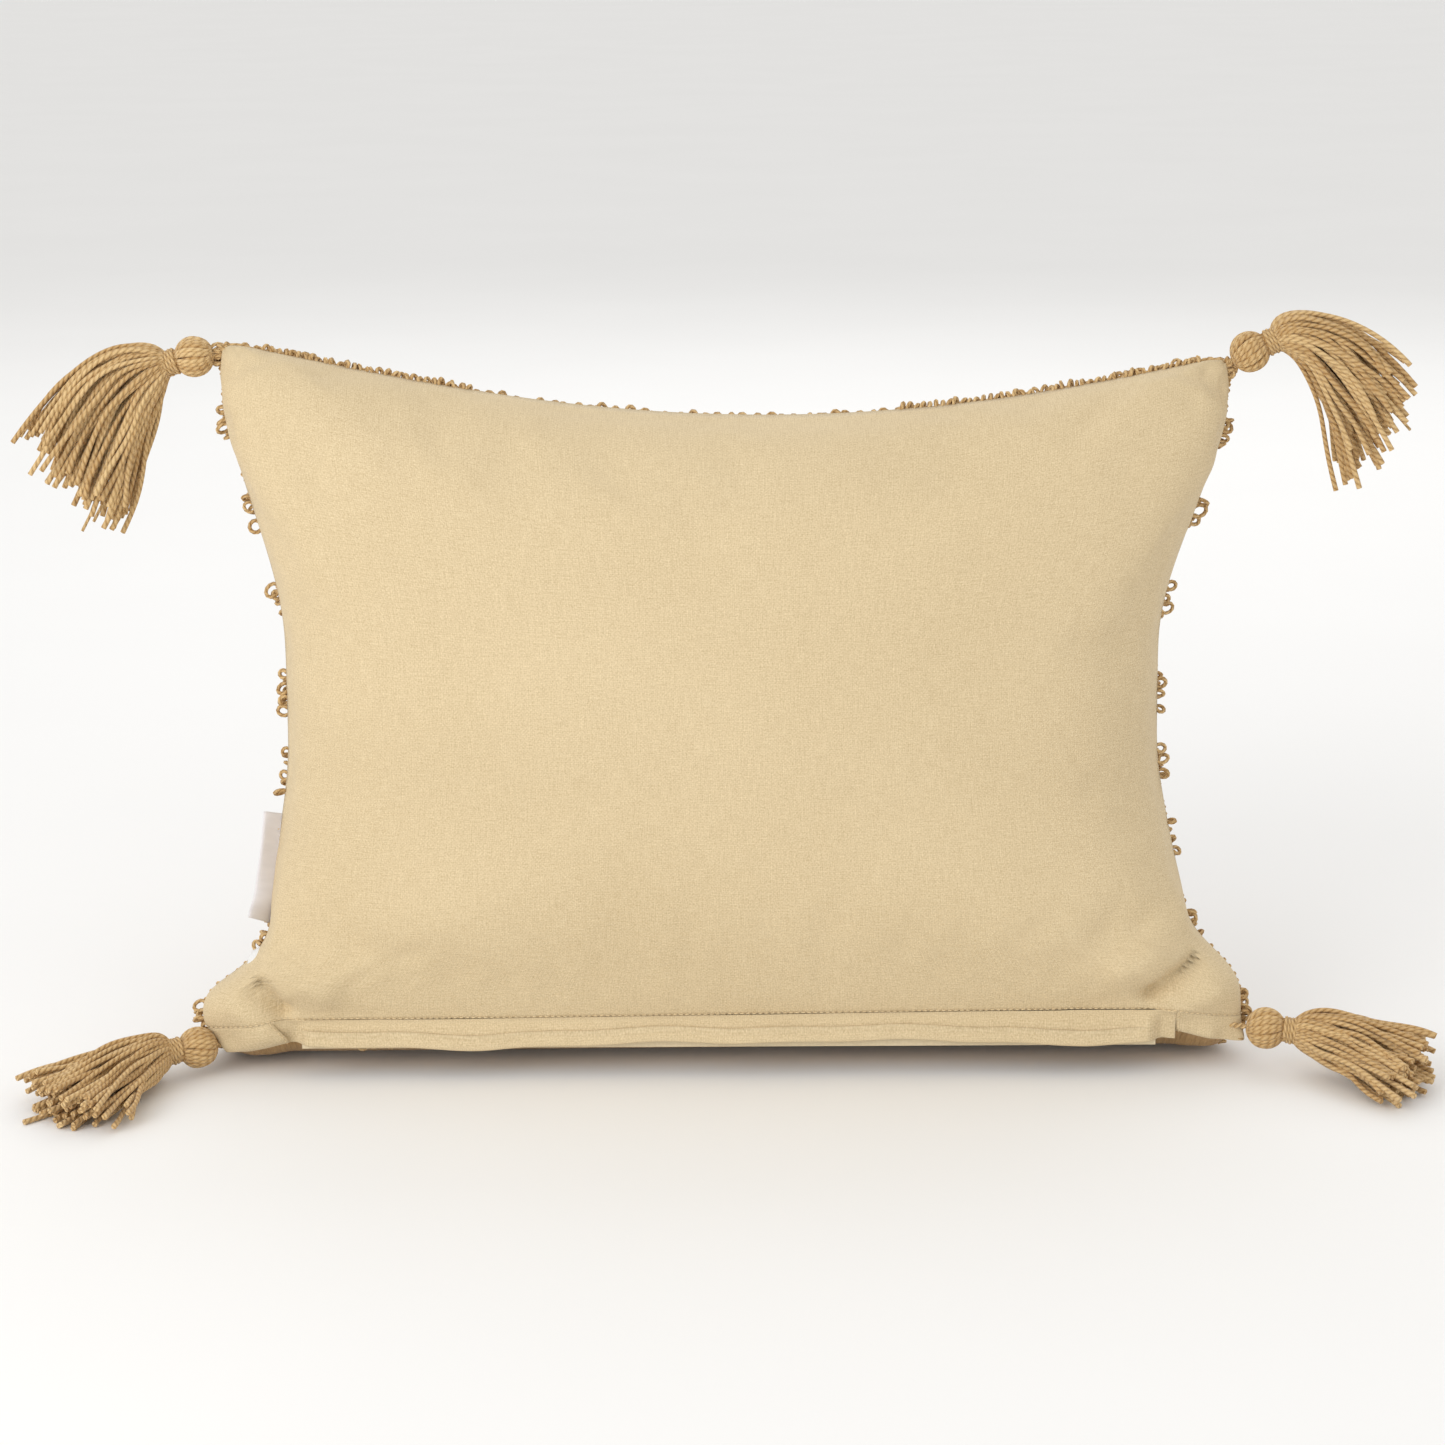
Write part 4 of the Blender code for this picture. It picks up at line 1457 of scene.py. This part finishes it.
@dataclass
class ZipFittings:
    """Coils of the zip, and the finishes of its tapes, stops, slider and pull."""

    finishes: Finishes

    def build(self, tree: GeometryTree) -> None:
        """Winds both coils and dresses the rest.

        Args:
            tree: The coil tree.
        """
        for side in ("upper", "lower"):
            low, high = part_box(f"zip_coil_{side}")
            host = bpy.data.meshes.new("coil_middle")
            host.from_pydata([tuple((a + b) / 2 for a, b in zip(low, high))], [], [])
            radius = (high[2] - low[2]) / 2
            coil = tree.bake(added("coil_middle", host), f"coil_teeth_{side}", self.finishes.nylon,
                             Length=high[0] - low[0], Radius=radius - 0.0003)
            enlist(coil, Body.COVER.value, [f"zip_coil_{side}"])
        dress = {"zip_tape_upper": self.finishes.tape, "zip_tape_lower": self.finishes.tape,
                 "zip_stop_left": self.finishes.metal, "zip_stop_right": self.finishes.metal,
                 "zip_slider": self.finishes.metal, "zip_pull": self.finishes.metal}
        for name, material in dress.items():
            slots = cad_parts[name].material_slots
            for number in range(len(slots)):
                slots[number].link = "OBJECT"
                slots[number].material = material
            log.info("%s: dressed in %s", name, material.name)


@dataclass
class SideLabel:
    """A blank satin ribbon, folded in two and sewn into the left seam by its raw ends."""

    finishes: Finishes
    cushion: Cushion
    low_t: float = -0.46
    high_t: float = -0.235
    reach: float = 0.0088
    turn: float = math.radians(28.0)
    offset: float = 0.0012
    ribbon: float = 0.00028

    def build(self, tree: GeometryTree) -> None:
        """Builds the folded ribbon and the stitches that hold it.

        Args:
            tree: The stitch tree.
        """
        form = self.cushion.form
        low = form.point(-1.0, self.low_t, Side.BACK)
        high = form.point(-1.0, self.high_t, Side.BACK)
        along = unit(high - low)
        inward = np.array([math.cos(self.turn), math.sin(self.turn), 0.0])
        inward = unit(inward - along * inward.dot(along))
        out = np.cross(along, inward)
        if out[1] > 0:
            out = -out
        middle = (low + high) / 2 + np.array([-self.offset, 0.0, 0.0])
        half = float(np.linalg.norm(high - low)) / 2
        heights = np.linspace(-1.0, 1.0, 29)
        section = ((0.0030, 0.0006), (0.0, 0.0006), (-0.35, 0.0007), (-0.7, 0.0008), (-0.93, 0.0007),
                   (-1.0, 0.0), (-0.93, -0.0006), (-0.7, -0.0006), (-0.35, -0.0005), (0.0, -0.0005),
                   (0.0030, -0.0005))
        rows = []
        for share, lift in section:
            reach = share if share > 0 else share * self.reach
            curl = ease((-heights - 0.45) / 0.55)
            flick = curl * (reach / self.reach) * -0.0045
            bow = 0.0012 * np.sin(heights * 2.6 + 0.5) * (reach / self.reach) ** 2
            row = (middle + np.outer(heights * half * (1.0 - 0.06 * curl * abs(share)), along)
                   + np.outer(np.full_like(heights, reach) - curl * abs(share) * 0.0035, inward)
                   + np.outer(lift + flick + bow, out))
            rows.append(row)
        places = np.stack(rows, axis=0)
        run = np.linspace(0.0, 2.2 * self.reach, len(section))
        flat = np.stack(np.meshgrid(run, heights * half, indexing="ij"), axis=-1)
        made = added("ribbon_label", grid_mesh("ribbon_label", places, flat))
        made.data.materials.append(self.finishes.satin)
        made = thickened(made, self.ribbon, 1)
        enlist(made, Body.LABEL.value, ["side_label"])
        marks = np.linspace(-0.92, 0.92, 18)
        points = [middle + along * half * mark + inward * 0.0008 + out * 0.0009 for mark in marks]
        enlist(stitched("label_stitches", tree, self.finishes.satin, points, [along] * len(points),
                        [out] * len(points)), Body.LABEL.value)


# -------------------------------------------------------------------------------------------- tufted front


@dataclass
class TuftedFront:
    """Bands of yarn loops across the front, with laid yarn between them."""

    finishes: Finishes
    cushion: Cushion
    band_pitch: float = 0.038
    first_band: float = 0.019
    row_pitch: float = 0.0052
    rows: int = 3
    loop_pitch: float = 0.0058
    loop: float = 0.0023
    yarn: float = 0.00105
    rib: float = 0.00135
    clear: float = 0.0003
    seed: int = 11

    def rested(self, path: np.ndarray, radius: float) -> np.ndarray:
        """The path, lifted where it would sink into the floor."""
        path[:, 2] = np.maximum(path[:, 2], radius + self.clear)
        return path

    def ring(self, place: np.ndarray, out: np.ndarray, run: np.ndarray, radius: float,
             rng: random.Random) -> np.ndarray:
        """One loop that stands on its two feet.

        Args:
            place: Where it leaves the cloth.
            out: The way that it stands.
            run: The way that its feet part.
            radius: Its radius to the middle of the yarn.
            rng: Source of its small differences.

        Returns:
            Its path.
        """
        side = np.cross(out, run)
        yaw = rng.uniform(-0.9, 0.9)
        run = run * math.cos(yaw) + side * math.sin(yaw)
        lean = side * rng.uniform(-0.35, 0.35) + run * rng.uniform(-0.2, 0.2)
        up = unit(out + lean)
        tall = rng.uniform(0.95, 1.3)
        angles = np.radians(np.linspace(24.0, 336.0, 10))
        middle = place + up * radius * tall * 0.92
        slip = np.linspace(-1.0, 1.0, 10) * self.yarn * 0.7
        return (middle - np.outer(np.cos(angles) * radius * tall, up) + np.outer(np.sin(angles) * radius, run)
                + np.outer(slip, unit(np.cross(up, run))))

    def build(self, tree: GeometryTree) -> None:
        """Builds the loops in three pieces and the laid yarn in one.

        Args:
            tree: The yarn tree.
        """
        rng = random.Random(self.seed)
        face = self.cushion.faces[Side.FRONT]
        u, v = self.cushion.flat_lines(face.s, face.t)
        bands = np.arange(self.first_band, v[-1] - 0.004, self.band_pitch)
        groups = [Paths(), Paths(), Paths()]
        laid = Paths()
        for number, centre in enumerate(bands):
            group = groups[min(2, number * 3 // len(bands))]
            for row in range(self.rows):
                place_v = centre + (row - (self.rows - 1) / 2) * self.row_pitch
                self.loop_row(group, face, u, v, place_v, rng)
            self.seam_cluster(group, face, float(np.interp(centre, v, face.t)), rng)
            self.lay(laid, face, u, v, centre, rng)
        self.edge_ribs(groups[2], face, rng)
        self.low_loops(groups[0], face, rng)
        for name, group in zip(("tuft_loops_low", "tuft_loops_middle", "tuft_loops_high"), groups):
            piece = group.piece(name, tree, self.finishes.yarn, self.yarn, 5)
            enlist(piece, Body.COVER.value, ["front_pile"])
        enlist(laid.piece("laid_yarn", tree, self.finishes.yarn, self.rib, 6), Body.COVER.value)

    def loop_row(self, group: Paths, face: CoverFace, u: np.ndarray, v: np.ndarray, place_v: float,
                 rng: random.Random) -> None:
        """One row of loops from seam to seam.

        Args:
            group: Where its paths go.
            face: The front of the cover.
            u: Distances along the cloth of the face's columns.
            v: Distances up the cloth of its rows.
            place_v: The row's own distance up the cloth.
            rng: Source of small differences.
        """
        t = float(np.interp(place_v, v, face.t))
        for place_u in np.arange(0.006, u[-1] - 0.005, self.loop_pitch):
            s = float(np.interp(place_u + rng.uniform(-0.0012, 0.0012), u, face.s))
            wander = t + rng.uniform(-0.006, 0.006)
            place, across, out = face.frame(s, max(-1.0, min(1.0, wander)))
            radius = self.loop * rng.uniform(0.8, 1.15)
            if place[2] < 0.010:
                out = unit(out + np.array([0.0, 0.3, 0.8]))
                radius *= 0.62
                place = np.array([place[0], place[1], max(place[2], 0.0045)])
            path = self.ring(place - out * 0.0004, out, across, radius, rng)
            group.add(self.rested(path, self.yarn), rng.uniform(0.85, 1.1), rng.random())

    def seam_cluster(self, group: Paths, face: CoverFace, t: float, rng: random.Random) -> None:
        """Loops that stand out past both side seams at one band.

        Args:
            group: Where their paths go.
            face: The front of the cover.
            t: The band's height, from -1 to 1.
            rng: Source of small differences.
        """
        for side in (-1.0, 1.0):
            for offset in (-0.034, -0.012, 0.012, 0.036):
                if rng.random() < 0.22:
                    continue
                height = max(-0.97, min(0.98, t + offset + rng.uniform(-0.006, 0.006)))
                place = face.at(side, height)
                out = unit(np.array([side * 1.0, rng.uniform(-0.10, 0.25), rng.uniform(-0.55, 0.2)]))
                run = np.array([0.0, rng.uniform(-0.5, 0.5), 1.0])
                run = unit(run - out * run.dot(out))
                path = self.ring(place + np.array([-side * 0.0006, 0.0012, 0.0]), out, run,
                                 self.loop * rng.uniform(0.8, 1.4), rng)
                group.add(self.rested(path, self.yarn), rng.uniform(0.9, 1.1), rng.random())

    def edge_ribs(self, group: Paths, face: CoverFace, rng: random.Random) -> None:
        """Short loops that show over the top seam near both corners."""
        for low, high in ((-0.232, -0.130), (0.090, 0.240)):
            for x in np.arange(low, high, 0.0034):
                s = math.asin(max(-1.0, min(1.0, x / HALF_WIDTH))) / (math.pi / 2)
                place = face.at(s, 1.0)
                out = unit(np.array([rng.uniform(-0.3, 0.3), 0.25, 1.0]))
                path = self.ring(place + np.array([0.0, 0.0012, -0.0012]), out, np.array([0.0, 1.0, 0.0]),
                                 self.loop * rng.uniform(0.55, 0.8), rng)
                group.add(path, rng.uniform(0.9, 1.1), rng.random())

    def low_loops(self, group: Paths, face: CoverFace, rng: random.Random) -> None:
        """Loops that hang below the bottom seam and show under the lap."""
        stretches = ((-0.186, -0.150), (-0.100, -0.096), (-0.040, -0.034), (0.008, 0.012), (0.040, 0.108),
                     (0.150, 0.156))
        across = np.array([1.0, 0.0, 0.0])
        for low, high in stretches:
            for x in np.arange(low, high, 0.0040):
                s = math.asin(x / HALF_WIDTH) / (math.pi / 2)
                out = unit(np.array([rng.uniform(-0.3, 0.3), -0.45, -0.9]))
                place = face.at(s, -1.0) + np.array([0.0, 0.001, -0.0006])
                path = self.ring(place, out, across, self.loop * rng.uniform(0.75, 1.0), rng)
                group.add(self.rested(path, self.yarn), rng.uniform(0.9, 1.1), rng.random())

    def lay(self, laid: Paths, face: CoverFace, u: np.ndarray, v: np.ndarray, centre: float,
            rng: random.Random) -> None:
        """Thick yarn laid side by side over the ground, between this band and the next.

        Args:
            laid: Where its paths go.
            face: The front of the cover.
            u: Distances along the cloth of the face's columns; not used.
            v: Distances up the cloth of its rows.
            centre: The band's own distance up the cloth.
            rng: Source of small differences.
        """
        reach = self.rows * self.row_pitch / 2 + 0.002
        end = min(centre + self.band_pitch - reach, v[-1] - 0.012)
        for place_v in np.arange(centre + reach, end, self.rib * 2.15):
            t = float(np.interp(place_v, v, face.t))
            phase, tone = rng.uniform(0.0, TURN), rng.uniform(0.2, 0.9)
            path = []
            for s in np.linspace(-0.985, 0.985, 72):
                place, _, out = face.frame(float(s), t)
                sway = 0.0004 * math.sin(s * 40.0 + phase)
                path.append(place + out * self.rib * 0.7 + np.array([0.0, 0.0, sway]))
            laid.add(self.rested(np.array(path), self.rib), 1.0, tone)


# ------------------------------------------------------------------------------------------------ tassels


Triple = tuple[float, float, float]


@dataclass(frozen=True)
class Fall:
    """How a tassel hangs, in metres from its corner: outwards, towards the viewer of the back, up.

    The head's middle, the way that the neck points, the bends and tips of the topmost and lowest strands
    with the tips between them, and how far strands stand off either way.
    """

    head: Triple
    aim: Triple
    bends: tuple[Triple, Triple]
    tips: tuple[Triple, Triple, Triple]
    spread: Triple
    strays: int = 2


class Corner(Enum):
    """The four corners, each with how its tassel falls."""

    TOP_LEFT = Fall((0.0140, 0.0, -0.0055), (0.96, 0.0, -0.24),
                    ((0.072, 0.002, 0.007), (0.037, 0.002, -0.050)),
                    ((0.104, 0.003, -0.042), (0.086, 0.004, -0.082), (0.054, 0.003, -0.092)),
                    (0.0, 0.017, 0.0))
    TOP_RIGHT = Fall((0.0112, 0.0, -0.0075), (0.86, 0.0, 0.42),
                     ((0.058, 0.002, 0.019), (0.046, 0.002, -0.024)),
                     ((0.088, 0.003, -0.014), (0.094, 0.004, -0.050), (0.060, 0.003, -0.079)),
                     (0.0, 0.017, 0.0))
    BOTTOM_LEFT = Fall((0.0165, 0.0020, 0.0040), (0.93, 0.36, -0.03),
                       ((0.066, 0.010, 0.002), (0.036, 0.046, 0.001)),
                       ((0.096, 0.032, -0.001), (0.094, 0.088, -0.002), (0.042, 0.086, -0.002)),
                       (0.0, 0.0, 0.0100), 0)
    BOTTOM_RIGHT = Fall((0.0195, 0.0010, 0.0110), (0.985, 0.17, -0.05),
                        ((0.070, -0.004, 0.014), (0.054, 0.032, 0.004)),
                        ((0.100, 0.006, 0.008), (0.105, 0.048, 0.001), (0.072, 0.070, -0.001)),
                        (0.0, 0.0, 0.0110), 0)

    def label(self) -> str:
        """Its name in the model."""
        return self.name.lower()

    def side(self) -> int:
        """-1 at the left, 1 at the right."""
        return -1 if self.name.endswith("LEFT") else 1


@dataclass
class Tassel:
    """A cord, a round head of yarn over a core, a bound neck and a skirt of cut strands."""

    corner: Corner
    finishes: Finishes
    tree: GeometryTree
    yarn: float = 0.00135
    head_yarns: int = 22
    strands: int = 118
    steps: int = 22
    seed: int = 3

    def build(self) -> None:
        """Builds the four pieces on the tassel's own body."""
        label = self.corner.label()
        self.rng = random.Random(self.seed + len(label) * 7 + ord(label[-2]))
        fall = self.corner.value
        low, high = (np.array(corner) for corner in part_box(f"tassel_cord_{label}"))
        head_low, head_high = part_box(f"tassel_head_{label}")
        middle = (low + high) / 2
        self.place = np.array([self.corner.side() * HALF_WIDTH, middle[1], middle[2]])
        self.radius = float(head_high[0] - head_low[0]) / 2 + 0.0004
        self.head = self.out(fall.head)
        self.aim = unit(self.out(fall.aim) - self.place)
        self.neck = self.head + self.aim * (self.radius + 0.0020)
        self.root = self.head - self.aim * (self.radius + 0.0035)
        down = self.out(fall.bends[1]) - self.out(fall.bends[0])
        self.across = unit(down - self.aim * down.dot(self.aim))
        deep = self.out(fall.spread) - self.place
        self.over = unit(deep - self.aim * deep.dot(self.aim) - self.across * deep.dot(self.across))
        makers = {"cord": self.cord, "head": self.round_head, "neck": self.binding, "skirt": self.skirt}
        for kind, maker in makers.items():
            piece = maker().piece(f"{label}_{kind}", self.tree, self.finishes.yarn, self.yarn)
            enlist(piece, f"tassel_{label}", [f"tassel_{kind}_{label}"])

    def out(self, values: Sequence[float]) -> np.ndarray:
        """Turns outwards, viewer and up, from the corner, into a point."""
        return self.place + np.array([self.corner.side() * values[0], -values[1], values[2]])

    def around(self, angle: Any, radius: Any) -> np.ndarray:
        """Offsets from the tassel's axis."""
        angle, radius = np.broadcast_arrays(np.asarray(angle, dtype=float), np.asarray(radius, dtype=float))
        over = (np.sin(angle) * radius)[..., None] * self.over
        return (np.cos(angle) * radius)[..., None] * self.across + over

    def cord(self) -> Paths:
        """Two yarns wound together from the corner into the head."""
        paths = Paths()
        run = np.linspace(-0.0040, 0.0085, 14)
        for start in (0.0, math.pi):
            path = self.root + np.outer(run, self.aim) + self.around(start + run * 900.0, 0.0007)
            paths.add(path, 0.62, self.rng.random())
        return paths

    def round_head(self) -> Paths:
        """Yarns that run over a round core from the cord to the neck."""
        paths = Paths()
        reach = self.radius - self.yarn
        for number in range(self.head_yarns):
            polar = np.linspace(math.radians(8.0), math.radians(164.0), 15)
            twist = number * TURN / self.head_yarns + self.rng.uniform(-0.08, 0.08) + polar * 0.22
            swell = reach * (1.0 + self.rng.uniform(-0.025, 0.02))
            thick = np.clip(0.55 + 0.55 * np.sin(polar), 0.0, 1.04)
            paths.add(self.meridian(polar, twist, swell), thick, self.rng.random())
        for number in range(9):
            polar = np.linspace(math.radians(10.0), math.radians(170.0), 9)
            inner = reach - self.yarn * 1.5
            # the core's yarns take the darkest tone, 0, as painted shade under and between the head's yarns
            paths.add(self.meridian(polar, number * TURN / 9, inner), 2.1 * np.sin(polar) + 0.2, 0.0)
        return paths

    def meridian(self, polar: np.ndarray, angle: Any, radius: float) -> np.ndarray:
        """Points over the round head, from the cord to the neck."""
        along = self.head - np.outer(np.cos(polar) * radius, self.aim)
        return along + self.around(angle, np.sin(polar) * radius)

    def binding(self) -> Paths:
        """Yarn wound round the neck, four turns, over the bundled strands."""
        paths = Paths()
        angle = np.linspace(0.0, TURN * 3.6, 66)
        run = np.linspace(-0.0030, 0.0030, len(angle))
        radius = 0.0060 + 0.0003 * np.sin(angle * 0.7)
        paths.add(self.neck + np.outer(run, self.aim) + self.around(angle, radius), 0.72, 0.55)
        for number in range(12):
            spoke = self.around(number * TURN / 12, 0.0042)
            path = self.neck + np.outer(np.linspace(-0.0045, 0.0060, 5), self.aim) + spoke
            # the bundled strands under the wrap take a dark tone, 0.1, as painted shade under the binding
            paths.add(path, 1.4, 0.1)
        return paths

    def skirt(self) -> Paths:
        """Cut strands that leave the neck together, bend under their weight and spread."""
        paths = Paths()
        fall = self.corner.value
        start = self.neck + self.aim * 0.0022
        thick = np.interp(np.linspace(0, 1, self.steps + 1), [0, 0.14, 0.9, 1.0], [0.66, 0.92, 1.0, 1.08])
        for number in range(self.strands):
            radial = math.sqrt((number + 0.5) / self.strands)
            angle = number * GOLDEN_ANGLE
            down, deep = 0.5 + 0.5 * radial * math.cos(angle), radial * math.sin(angle)
            paths.add(self.strand(fall, start, down, deep, radial, angle, 1.0), thick, self.rng.random())
        for _ in range(fall.strays):
            down, deep = self.rng.random(), self.rng.uniform(-1.0, 1.0)
            paths.add(self.strand(fall, start, down, deep, 1.0, self.rng.uniform(0, TURN), 1.13), 0.62, 0.8)
        return paths

    def stray(self, *sizes: float) -> np.ndarray:
        """A small random offset, with its usual size on each axis."""
        return np.array([self.rng.gauss(0, size) for size in sizes])

    def strand(self, fall: Fall, start: np.ndarray, down: float, deep: float, radial: float, angle: float,
               length: float) -> np.ndarray:
        """One strand's path.

        Args:
            fall: How this tassel falls.
            start: Middle of the neck's open end.
            down: 0 for the topmost strands, 1 for the lowest.
            deep: -1 to 1 through the skirt's depth.
            radial: Distance from the middle of the bundle, from 0 to 1.
            angle: Direction from the middle of the bundle.
            length: Share of the usual length.

        Returns:
            Its points.
        """
        rng = self.rng
        upper, lower = (np.array(bend) for bend in fall.bends)
        first, middle, last = (np.array(tip) for tip in fall.tips)
        bend = upper * (1 - down) + lower * down
        tip = first * (1 - down) ** 2 + middle * 2 * down * (1 - down) + last * down ** 2
        spread = np.array(fall.spread)
        on_floor = spread[2] > 0.0
        reach = rng.uniform(0.88, 1.03) * length * (0.90 + 0.10 * radial)
        p0 = start + self.around(angle, 0.0060 * radial)
        p1 = p0 + self.aim * 0.009 + self.around(angle, 0.0105 * radial)
        p2 = self.out(bend + spread * deep * 0.8 + self.stray(0.002, 0.002, 0.0012))
        tip = tip * reach + spread * deep
        p3 = self.out(tip + self.stray(0.0026, 0.003, 0.0012 if on_floor else 0.0026))
        share = np.linspace(0.0, 1.0, self.steps + 1)[:, None]
        path = (p0 * (1 - share) ** 3 + p1 * 3 * share * (1 - share) ** 2 + p2 * 3 * share ** 2 * (1 - share)
                + p3 * share ** 3)
        wobble = share * 0.0018
        phases = [rng.uniform(0, TURN) for _ in range(3)]
        for axis in range(3):
            path[:, axis] += (wobble * np.sin(share * rng.uniform(5.0, 11.0) + phases[axis]))[:, 0]
        path[:, 2] = np.maximum(path[:, 2], self.yarn + 0.0002)
        return path


# ------------------------------------------------------------------------------------------------- studio


@dataclass
class Studio:
    """A pale floor, soft light and the camera."""

    lens: float = 85.0
    distance: float = 1.735
    azimuth: float = math.radians(0.5)
    elevation: float = math.radians(14.0)
    roll: float = math.radians(-0.45)
    aim: tuple[float, float, float] = (-0.002, -0.015, 0.175)
    floor_size: float = 30.0
    world_strength: float = 0.86

    def build(self) -> None:
        """Sets up floor, world, lights and camera."""
        shape = bmesh.new()
        bmesh.ops.create_grid(shape, x_segments=8, y_segments=8, size=self.floor_size)
        mesh = bpy.data.meshes.new("floor")
        shape.to_mesh(mesh)
        shape.free()
        mesh.materials.append(StudioFloor().material())
        added("floor", mesh)
        world = bpy.data.worlds.new("soft_white")
        world.use_nodes = True
        shade = world.node_tree.nodes["Background"]
        shade.inputs["Color"].default_value = (1.0, 0.99, 0.97, 1.0)
        shade.inputs["Strength"].default_value = self.world_strength
        bpy.context.scene.world = world
        bpy.context.scene.view_settings.view_transform = "Standard"
        self.light("key", (-1.5, -1.7, 1.0), 1.5, 23.0)
        self.light("fill", (1.8, -1.5, 0.8), 2.0, 3.5)
        self.light("back", (0.3, 2.0, 1.9), 2.2, 14.0)
        self.camera()

    def light(self, name: str, place: tuple[float, float, float], size: float, power: float) -> None:
        """Adds one square soft light that faces the pillow.

        Args:
            name: The light's name.
            place: Its middle.
            size: Its side.
            power: In watts.
        """
        lamp = bpy.data.lights.new(name, "AREA")
        lamp.energy = power
        lamp.size = size
        made = bpy.data.objects.new(name, lamp)
        made.location = place
        made.rotation_euler = (Vector(self.aim) - Vector(place)).to_track_quat("-Z", "Y").to_euler()
        bpy.context.scene.collection.objects.link(made)

    def camera(self) -> None:
        """Adds the camera at the height of someone who looks down a little on the back."""
        lens = bpy.data.cameras.new("camera")
        lens.lens = self.lens
        made = bpy.data.objects.new("camera", lens)
        flat = math.cos(self.elevation) * self.distance
        offset = Vector((math.sin(self.azimuth) * flat, -math.cos(self.azimuth) * flat,
                         math.sin(self.elevation) * self.distance))
        made.location = Vector(self.aim) + offset
        turned = (-offset).to_track_quat("-Z", "Y").to_matrix() @ Matrix.Rotation(self.roll, 3, "Z")
        made.rotation_euler = turned.to_euler()
        bpy.context.scene.collection.objects.link(made)
        bpy.context.scene.camera = made


def main() -> None:
    """Builds every sub-assembly in order."""
    logging.basicConfig(level=logging.INFO, format="%(name)s: %(message)s")
    Studio().build()
    finishes = Finishes()
    yarns, stitches = yarn_tree(), stitch_tree()
    cushion = Cushion(finishes)
    cushion.build()
    cushion.build_insert()
    flap = Flap(finishes, cushion)
    flap.build()
    flap.stitch(stitches)
    ZipFittings(finishes).build(coil_tree())
    SideLabel(finishes, cushion).build(stitches)
    TuftedFront(finishes, cushion).build(yarns)
    for corner in Corner:
        Tassel(corner, finishes, yarns).build()


if __name__ == "__main__":
    main()
